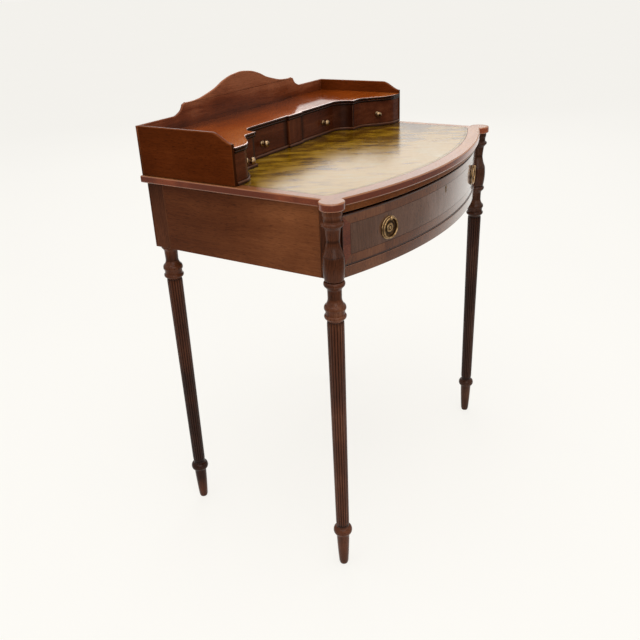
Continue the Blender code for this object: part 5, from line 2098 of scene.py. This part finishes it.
@dataclass
class Gallery:
    """The shaped back and the two side boards with their ogee front ends."""

    finishes: Finishes
    back_thickness: float = 0.0055
    side_front: float = 0.198
    side_top: float = 0.0918
    ogee_length: float = 0.044
    ogee_drop: float = 0.018
    peak: float = 0.1490
    step_rise: float = 0.0210
    shoulder_share: float = 0.6846
    step_share: float = 0.5800
    arris: float = 0.0020

    crest: tuple[Point, ...] = (
        (1.0, 0.0), (0.92, -0.02), (0.77, 0.03), (0.63, 0.18), (0.47, 0.41), (0.35, 0.67),
        (0.22, 0.87), (0.11, 0.96), (0.0, 1.0),
    )
    hollow: tuple[Point, ...] = (
        (0.0, 0.0), (0.21, 0.07), (0.56, 0.34), (0.74, 0.68), (0.80, 0.86), (1.0, 0.96),
    )

    @staticmethod
    def through(points: Sequence[Point], steps: int) -> list[Point]:
        """A smooth line through points.

        Args:
            points: the points.
            steps: straight steps between two of them.

        Returns:
            Points of the line.
        """
        padded = [points[0], *points, points[-1]]
        line = [points[0]]
        for a, b, c, d in zip(padded, padded[1:], padded[2:], padded[3:]):
            for i in range(1, steps + 1):
                t = i / steps
                line.append(
                    tuple(
                        0.5 * (2 * q + (r - p) * t + (2 * p - 5 * q + 4 * r - s) * t * t
                               + (3 * q - p - 3 * r + s) * t**3)
                        for p, q, r, s in zip(a, b, c, d)
                    )
                )
        return line

    def build(self) -> None:
        """Builds the three boards."""
        half = DESK.top_half - DESK.gallery_set_in
        low = DESK.surface + DESK.gap
        side_top = DESK.surface + self.side_top
        step_z = side_top + self.step_rise
        peak_z = DESK.surface + self.peak
        shoulder, step = self.shoulder_share * half, self.step_share * half
        rise = [(shoulder + (step - shoulder) * a, side_top + self.step_rise * b)
                for a, b in self.hollow]
        crown = [(step * a, step_z + (peak_z - step_z) * b) for a, b in self.crest]
        crown = [*crown, *[(-x, z) for x, z in reversed(crown[:-1])]]
        crown = self.through(crown, 5)
        right = [(half, low), (half, side_top), *self.through(rise, 4)]
        outline = right + crown + [(-x, z) for x, z in reversed(right)]
        board = slab(outline, eased(0.0, self.back_thickness, self.arris, 4))
        board.transform(
            Matrix.Translation((0.0, DESK.gallery_back_y + self.back_thickness, 0.0))
            @ Matrix.Rotation(math.pi / 2, 4, "X")
        )
        placed(new_object("gallery_crest_board", board, self.finishes.gallery_back), "body",
               ["gallery_back"])
        back = DESK.gallery_back_y - DESK.gap
        ogee = []
        for i in range(21):
            part = i / 20
            ease = part * part * (3 - 2 * part)
            ogee.append((self.side_front + self.ogee_length * part,
                         side_top - self.ogee_drop * (1 - ease)))
        outline = [(self.side_front, low), *ogee, (back, side_top), (back, low)]
        thick = DESK.gallery_thickness
        for side, hand in HANDS:
            board = slab(outline, eased(-thick / 2, thick / 2, self.arris, 4))
            board.transform(
                Matrix.Translation((side * (half - thick / 2), 0.0, 0.0))
                @ Matrix.Rotation(math.pi / 2, 4, "Z")
                @ Matrix.Rotation(math.pi / 2, 4, "X")
            )
            # The front edge is marked as hollow, so the wood darkens it.
            set_attribute(board, "hollow", [
                1.0 if v.co.y < self.side_front + 0.5 * self.arris else 0.0
                for v in board.vertices
            ])
            placed(
                new_object(f"gallery_ogee_board_{hand}", board, self.finishes.gallery_side),
                "body", [f"gallery_side_{hand}"],
            )


@dataclass
class SmallDrawers:
    """The four small drawers: fronts, boxes and turned brass knobs."""

    finishes: Finishes
    line: FrontLine = FrontLine()
    front_thickness: float = 0.011
    play: float = 0.0006
    knob_radius: float = 0.0068
    knob_length: float = 0.0170
    knob_below_top: float = 0.0285
    inner_knob_share: float = 0.616
    outer_knob_share: float = 0.490
    base_top: float = 0.7668
    deck_bottom: float = 0.8168
    arris: float = 0.0008
    corner_shade_width: float = 0.018

    knob: tuple[Point, ...] = (
        (0.0, 1.0), (0.22, 0.995), (0.42, 0.975), (0.63, 0.93), (0.80, 0.87), (0.94, 0.78),
        (1.0, 0.68), (0.985, 0.58), (0.92, 0.50), (0.78, 0.43), (0.62, 0.38), (0.46, 0.34),
        (0.36, 0.30), (0.34, 0.26), (0.40, 0.22), (0.58, 0.19), (0.74, 0.15), (0.84, 0.12),
        (0.86, 0.08), (0.86, 0.0), (0.0, 0.0),
    )

    def build(self) -> None:
        """Builds all four drawers."""
        line = self.line
        low, high = self.base_top + DESK.gap, self.deck_bottom - self.play
        inner_low, inner_high = line.pilaster_half + self.play, line.partition_x - self.play
        outer_low = line.outer_x + self.play
        outer_high = line.end_x + DESK.gap - self.play
        inner_back = line.inner_y + self.front_thickness
        cove = [(x, y) for x, y in line.cove(0.0) if x < inner_high]
        inner_front = (
            [(inner_low, line.inner_y), *cove, (inner_high, line.inner_y - line.cove_radius)]
            + [(inner_high, inner_back), (inner_low, inner_back)]
        )
        inner_front[1:1] = [(inner_low + 0.004 * i, line.inner_y) for i in range(1, 6)]
        face = [
            (outer_low, line.outer_back_y), *line.sweep(0.0), (outer_high, line.outer_front_y)
        ]
        behind = [(x, y + self.front_thickness) for x, y in face]
        inner_knob = self.inner_knob_share * line.partition_x
        outer_knob = line.outer_x + self.outer_knob_share * (line.end_x - line.outer_x)
        reach = self.knob_radius
        rise = self.height(face, outer_knob + reach) - self.height(face, outer_knob - reach)
        turn = math.atan(rise / (2 * reach))
        kinds = (
            ("inner", inner_front, inner_knob, line.inner_y, 0.0),
            ("outer", face + behind[::-1], outer_knob, self.height(face, outer_knob), turn),
        )
        for kind, outline, knob_x, knob_y, splay in kinds:
            for side, hand in HANDS:
                name = f"{kind}_drawer_{hand}"
                levels = eased(low, high, self.arris, 3)
                board = slab([(side * x, y) for x, y in outline], levels)
                # The cove and the corner beside the pilaster are darkened as painted shade.
                set_attribute(board, "hollow", [self.sunk(kind, v.co) for v in board.vertices])
                placed(
                    new_object(f"{name}_veneered_front", board, self.finishes.small_front),
                    name, [f"{name}_front"],
                )
                self.box(name)
                outward = Vector((side * math.sin(splay), -math.cos(splay), 0.0))
                foot = Vector((side * knob_x, knob_y, high - self.knob_below_top))
                self.knob_piece(name, foot + outward * DESK.gap, outward)

    def sunk(self, kind: str, spot: Vector) -> float:
        """How much painted shade darkens a spot of a front: in the hollow end of an inner
        drawer, and in the corner beside the pilaster."""
        if kind == "outer":
            return 0.0
        line = self.line
        x = abs(spot.x)
        cove = (x - (line.partition_x - DESK.gap - line.cove_radius)) / line.cove_radius
        corner = 2.4 * (1.0 - (x - line.pilaster_half) / self.corner_shade_width)
        return max(0.0, min(1.0, 0.35 + 0.65 * cove if cove > 0 else corner))

    @staticmethod
    def height(points: Sequence[Point], x: float) -> float:
        """Y of a line of points at an X, by straight steps."""
        for (x0, y0), (x1, y1) in zip(points, points[1:]):
            if x0 <= x <= x1 and x1 > x0:
                return y0 + (y1 - y0) * (x - x0) / (x1 - x0)
        return points[-1][1]

    def box(self, name: str) -> None:
        """Dresses a drawer's sides, back and bottom.

        Args:
            name: name of the drawer.
        """
        for part, finish in (
            ("side_left", self.finishes.lining), ("side_right", self.finishes.lining),
            ("back", self.finishes.lining_level), ("bottom", self.finishes.lining_level),
        ):
            dressed(f"{name}_{part}", 0.0005, finish, name)

    def knob_piece(self, name: str, foot: Vector, outward: Vector) -> None:
        """Builds a turned knob.

        Args:
            name: name of its drawer.
            foot: middle of its foot.
            outward: unit vector out of the drawer's face.
        """
        profile = [(r * self.knob_radius, h * self.knob_length) for r, h in self.knob]
        mesh = revolved(profile, 48, hollows(profile, self.knob_radius * 0.35))
        mesh.transform(facing(foot, outward))
        knob = new_object(f"{name}_turned_knob", mesh, self.finishes.browned_brass)
        placed(knob, name, [f"{name}_knob"])


# ------------------------------------------------------------------ studio


@dataclass
class Studio:
    """Camera, pale floor, white surroundings and soft lamps."""

    place: tuple[float, float, float] = (-1.3044, -0.7710, 1.0906)
    ahead: tuple[float, float, float] = (0.7596, 0.4897, -0.4281)
    roll_degrees: float = -2.589
    lens: float = 41.11
    floor_half: float = 60.0
    ambient: float = 0.62
    room_edge: Point = (-1.30, -1.15)
    room_fade: float = 0.45
    lamp_colour: tuple[float, float, float] = (1.0, 0.990, 0.970)
    dim: float = 0.25

    def camera(self) -> None:
        """Sets the camera at the photograph's viewing angle."""
        data = bpy.data.cameras.new("camera")
        data.sensor_width = 36.0
        data.lens = self.lens
        camera = linked("camera", data)
        forward = Vector(self.ahead).normalized()
        level = Vector((forward.y, -forward.x, 0.0)).normalized()
        upright = level.cross(forward)
        roll = math.radians(self.roll_degrees)
        right = level * math.cos(roll) + upright * math.sin(roll)
        up = upright * math.cos(roll) - level * math.sin(roll)
        rows = [(right[i], up[i], -forward[i], self.place[i]) for i in range(3)]
        camera.matrix_world = Matrix([*rows, (0.0, 0.0, 0.0, 1.0)])
        bpy.context.scene.camera = camera

    def white_to_camera(self, tree: bpy.types.NodeTree) -> Any:
        """Adds a value that is 1 for camera, glossy and transmission rays.

        Args:
            tree: the node tree.

        Returns:
            The node that gives it.
        """
        path = add(tree, "ShaderNodeLightPath").outputs
        seen = path["Is Camera Ray"]
        for ray in ("Is Glossy Ray", "Is Transmission Ray"):
            seen = add(tree, "ShaderNodeMath", {0: seen, 1: path[ray]}, operation="MAXIMUM")
        return seen

    def surroundings(self) -> None:
        """Sets the world, white where it is seen and softer where it lights."""
        world = bpy.data.worlds.new("white_room")
        bpy.context.scene.world = world
        world.use_nodes = True
        tree = world.node_tree
        strength = add(
            tree, "ShaderNodeMapRange",
            {"Value": self.white_to_camera(tree), "To Min": self.ambient, "To Max": 1.0},
        )
        wire(tree, tree.nodes["Background"], {"Color": linear("#f5f3ee"), "Strength": strength})

    def floor(self) -> None:
        """Lays a pale floor that keeps the desk's shadow."""
        reach = self.floor_half
        mesh = bpy.data.meshes.new("studio_floor")
        mesh.from_pydata(
            [(-reach, -reach, 0.0), (reach, -reach, 0.0), (reach, reach, 0.0),
             (-reach, reach, 0.0)],
            [], [(0, 1, 2, 3)],
        )
        made = Surface("painted_floor")
        cloud = made.noise(made.place, 1.5, 2.0)
        colour = made.ramp(cloud, ((0.3, "#f4f3f0"), (0.7, "#f7f6f3")))
        # The room behind and to the left of the camera is dim, so the floor there sends
        # little light back on to the polish; seen itself, it is as pale as the rest.
        near = [
            made.node(
                "MapRange",
                {"Value": made.axis(axis), "From Min": edge - self.room_fade,
                 "From Max": edge + self.room_fade, "To Min": self.dim, "To Max": 1.0},
            )
            for axis, edge in zip("XY", self.room_edge)
        ]
        seen = made.node("LightPath").outputs["Is Camera Ray"]
        level = made.math("MAXIMUM", made.math("MINIMUM", *near), seen)
        toned = made.blend(level, linear("#000000"), colour)
        made.finish({"Base Color": toned, "Roughness": 0.8})
        glow = made.node("Emission", {"Color": linear("#fdfbf6"), "Strength": level})
        share = made.math("MULTIPLY", self.white_to_camera(made.tree), 0.80)
        shader, output = (made.tree.nodes[n] for n in ("Principled BSDF", "Material Output"))
        mixed = made.node("MixShader", {0: share, 1: shader, 2: glow})
        wire(made.tree, output, {"Surface": mixed})
        floor = new_object("studio_floor", mesh, made.material)

    def lamp(
        self, name: str, place: tuple[float, float, float], aim: tuple[float, float, float],
        size: tuple[float, float], watts: float,
    ) -> None:
        """Hangs a soft rectangular lamp.

        Args:
            name: its name.
            place: where it hangs.
            aim: the point it faces.
            size: its width and height.
            watts: its power.
        """
        data = bpy.data.lights.new(name, "AREA")
        data.shape = "RECTANGLE"
        data.size, data.size_y = size
        data.energy = watts
        data.color = self.lamp_colour
        linked(name, data).matrix_world = facing(place, Vector(place) - Vector(aim))

    def build(self) -> None:
        """Builds the whole set."""
        bpy.context.scene.view_settings.view_transform = "Standard"
        self.surroundings()
        self.floor()
        self.lamp("overhead_softbox", (-0.4, -0.2, 3.2), (0.0, 0.0, 0.4), (3.0, 3.0), 55.0)
        self.lamp("window_softbox", (3.3, 2.1, 2.35), (0.1, 0.0, 0.78), (2.6, 1.7), 31.0)
        self.lamp("side_fill", (-2.0, -1.7, 1.7), (0.0, 0.0, 0.6), (1.6, 1.6), 14.0)


# ------------------------------------------------------------------ main


def main() -> None:
    """Builds the desk piece by piece and the studio round it."""
    logging.basicConfig(level=logging.INFO, format="%(name)s: %(message)s")
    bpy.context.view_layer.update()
    studio = Studio()
    studio.camera()
    finishes = Finishes()
    Legs(finishes).build()
    WritingTop(finishes).build()
    TableFrame(finishes).build()
    LongDrawer(finishes).build()
    Superstructure(finishes).build()
    Gallery(finishes).build()
    SmallDrawers(finishes).build()
    studio.build()


if __name__ == "__main__":
    main()
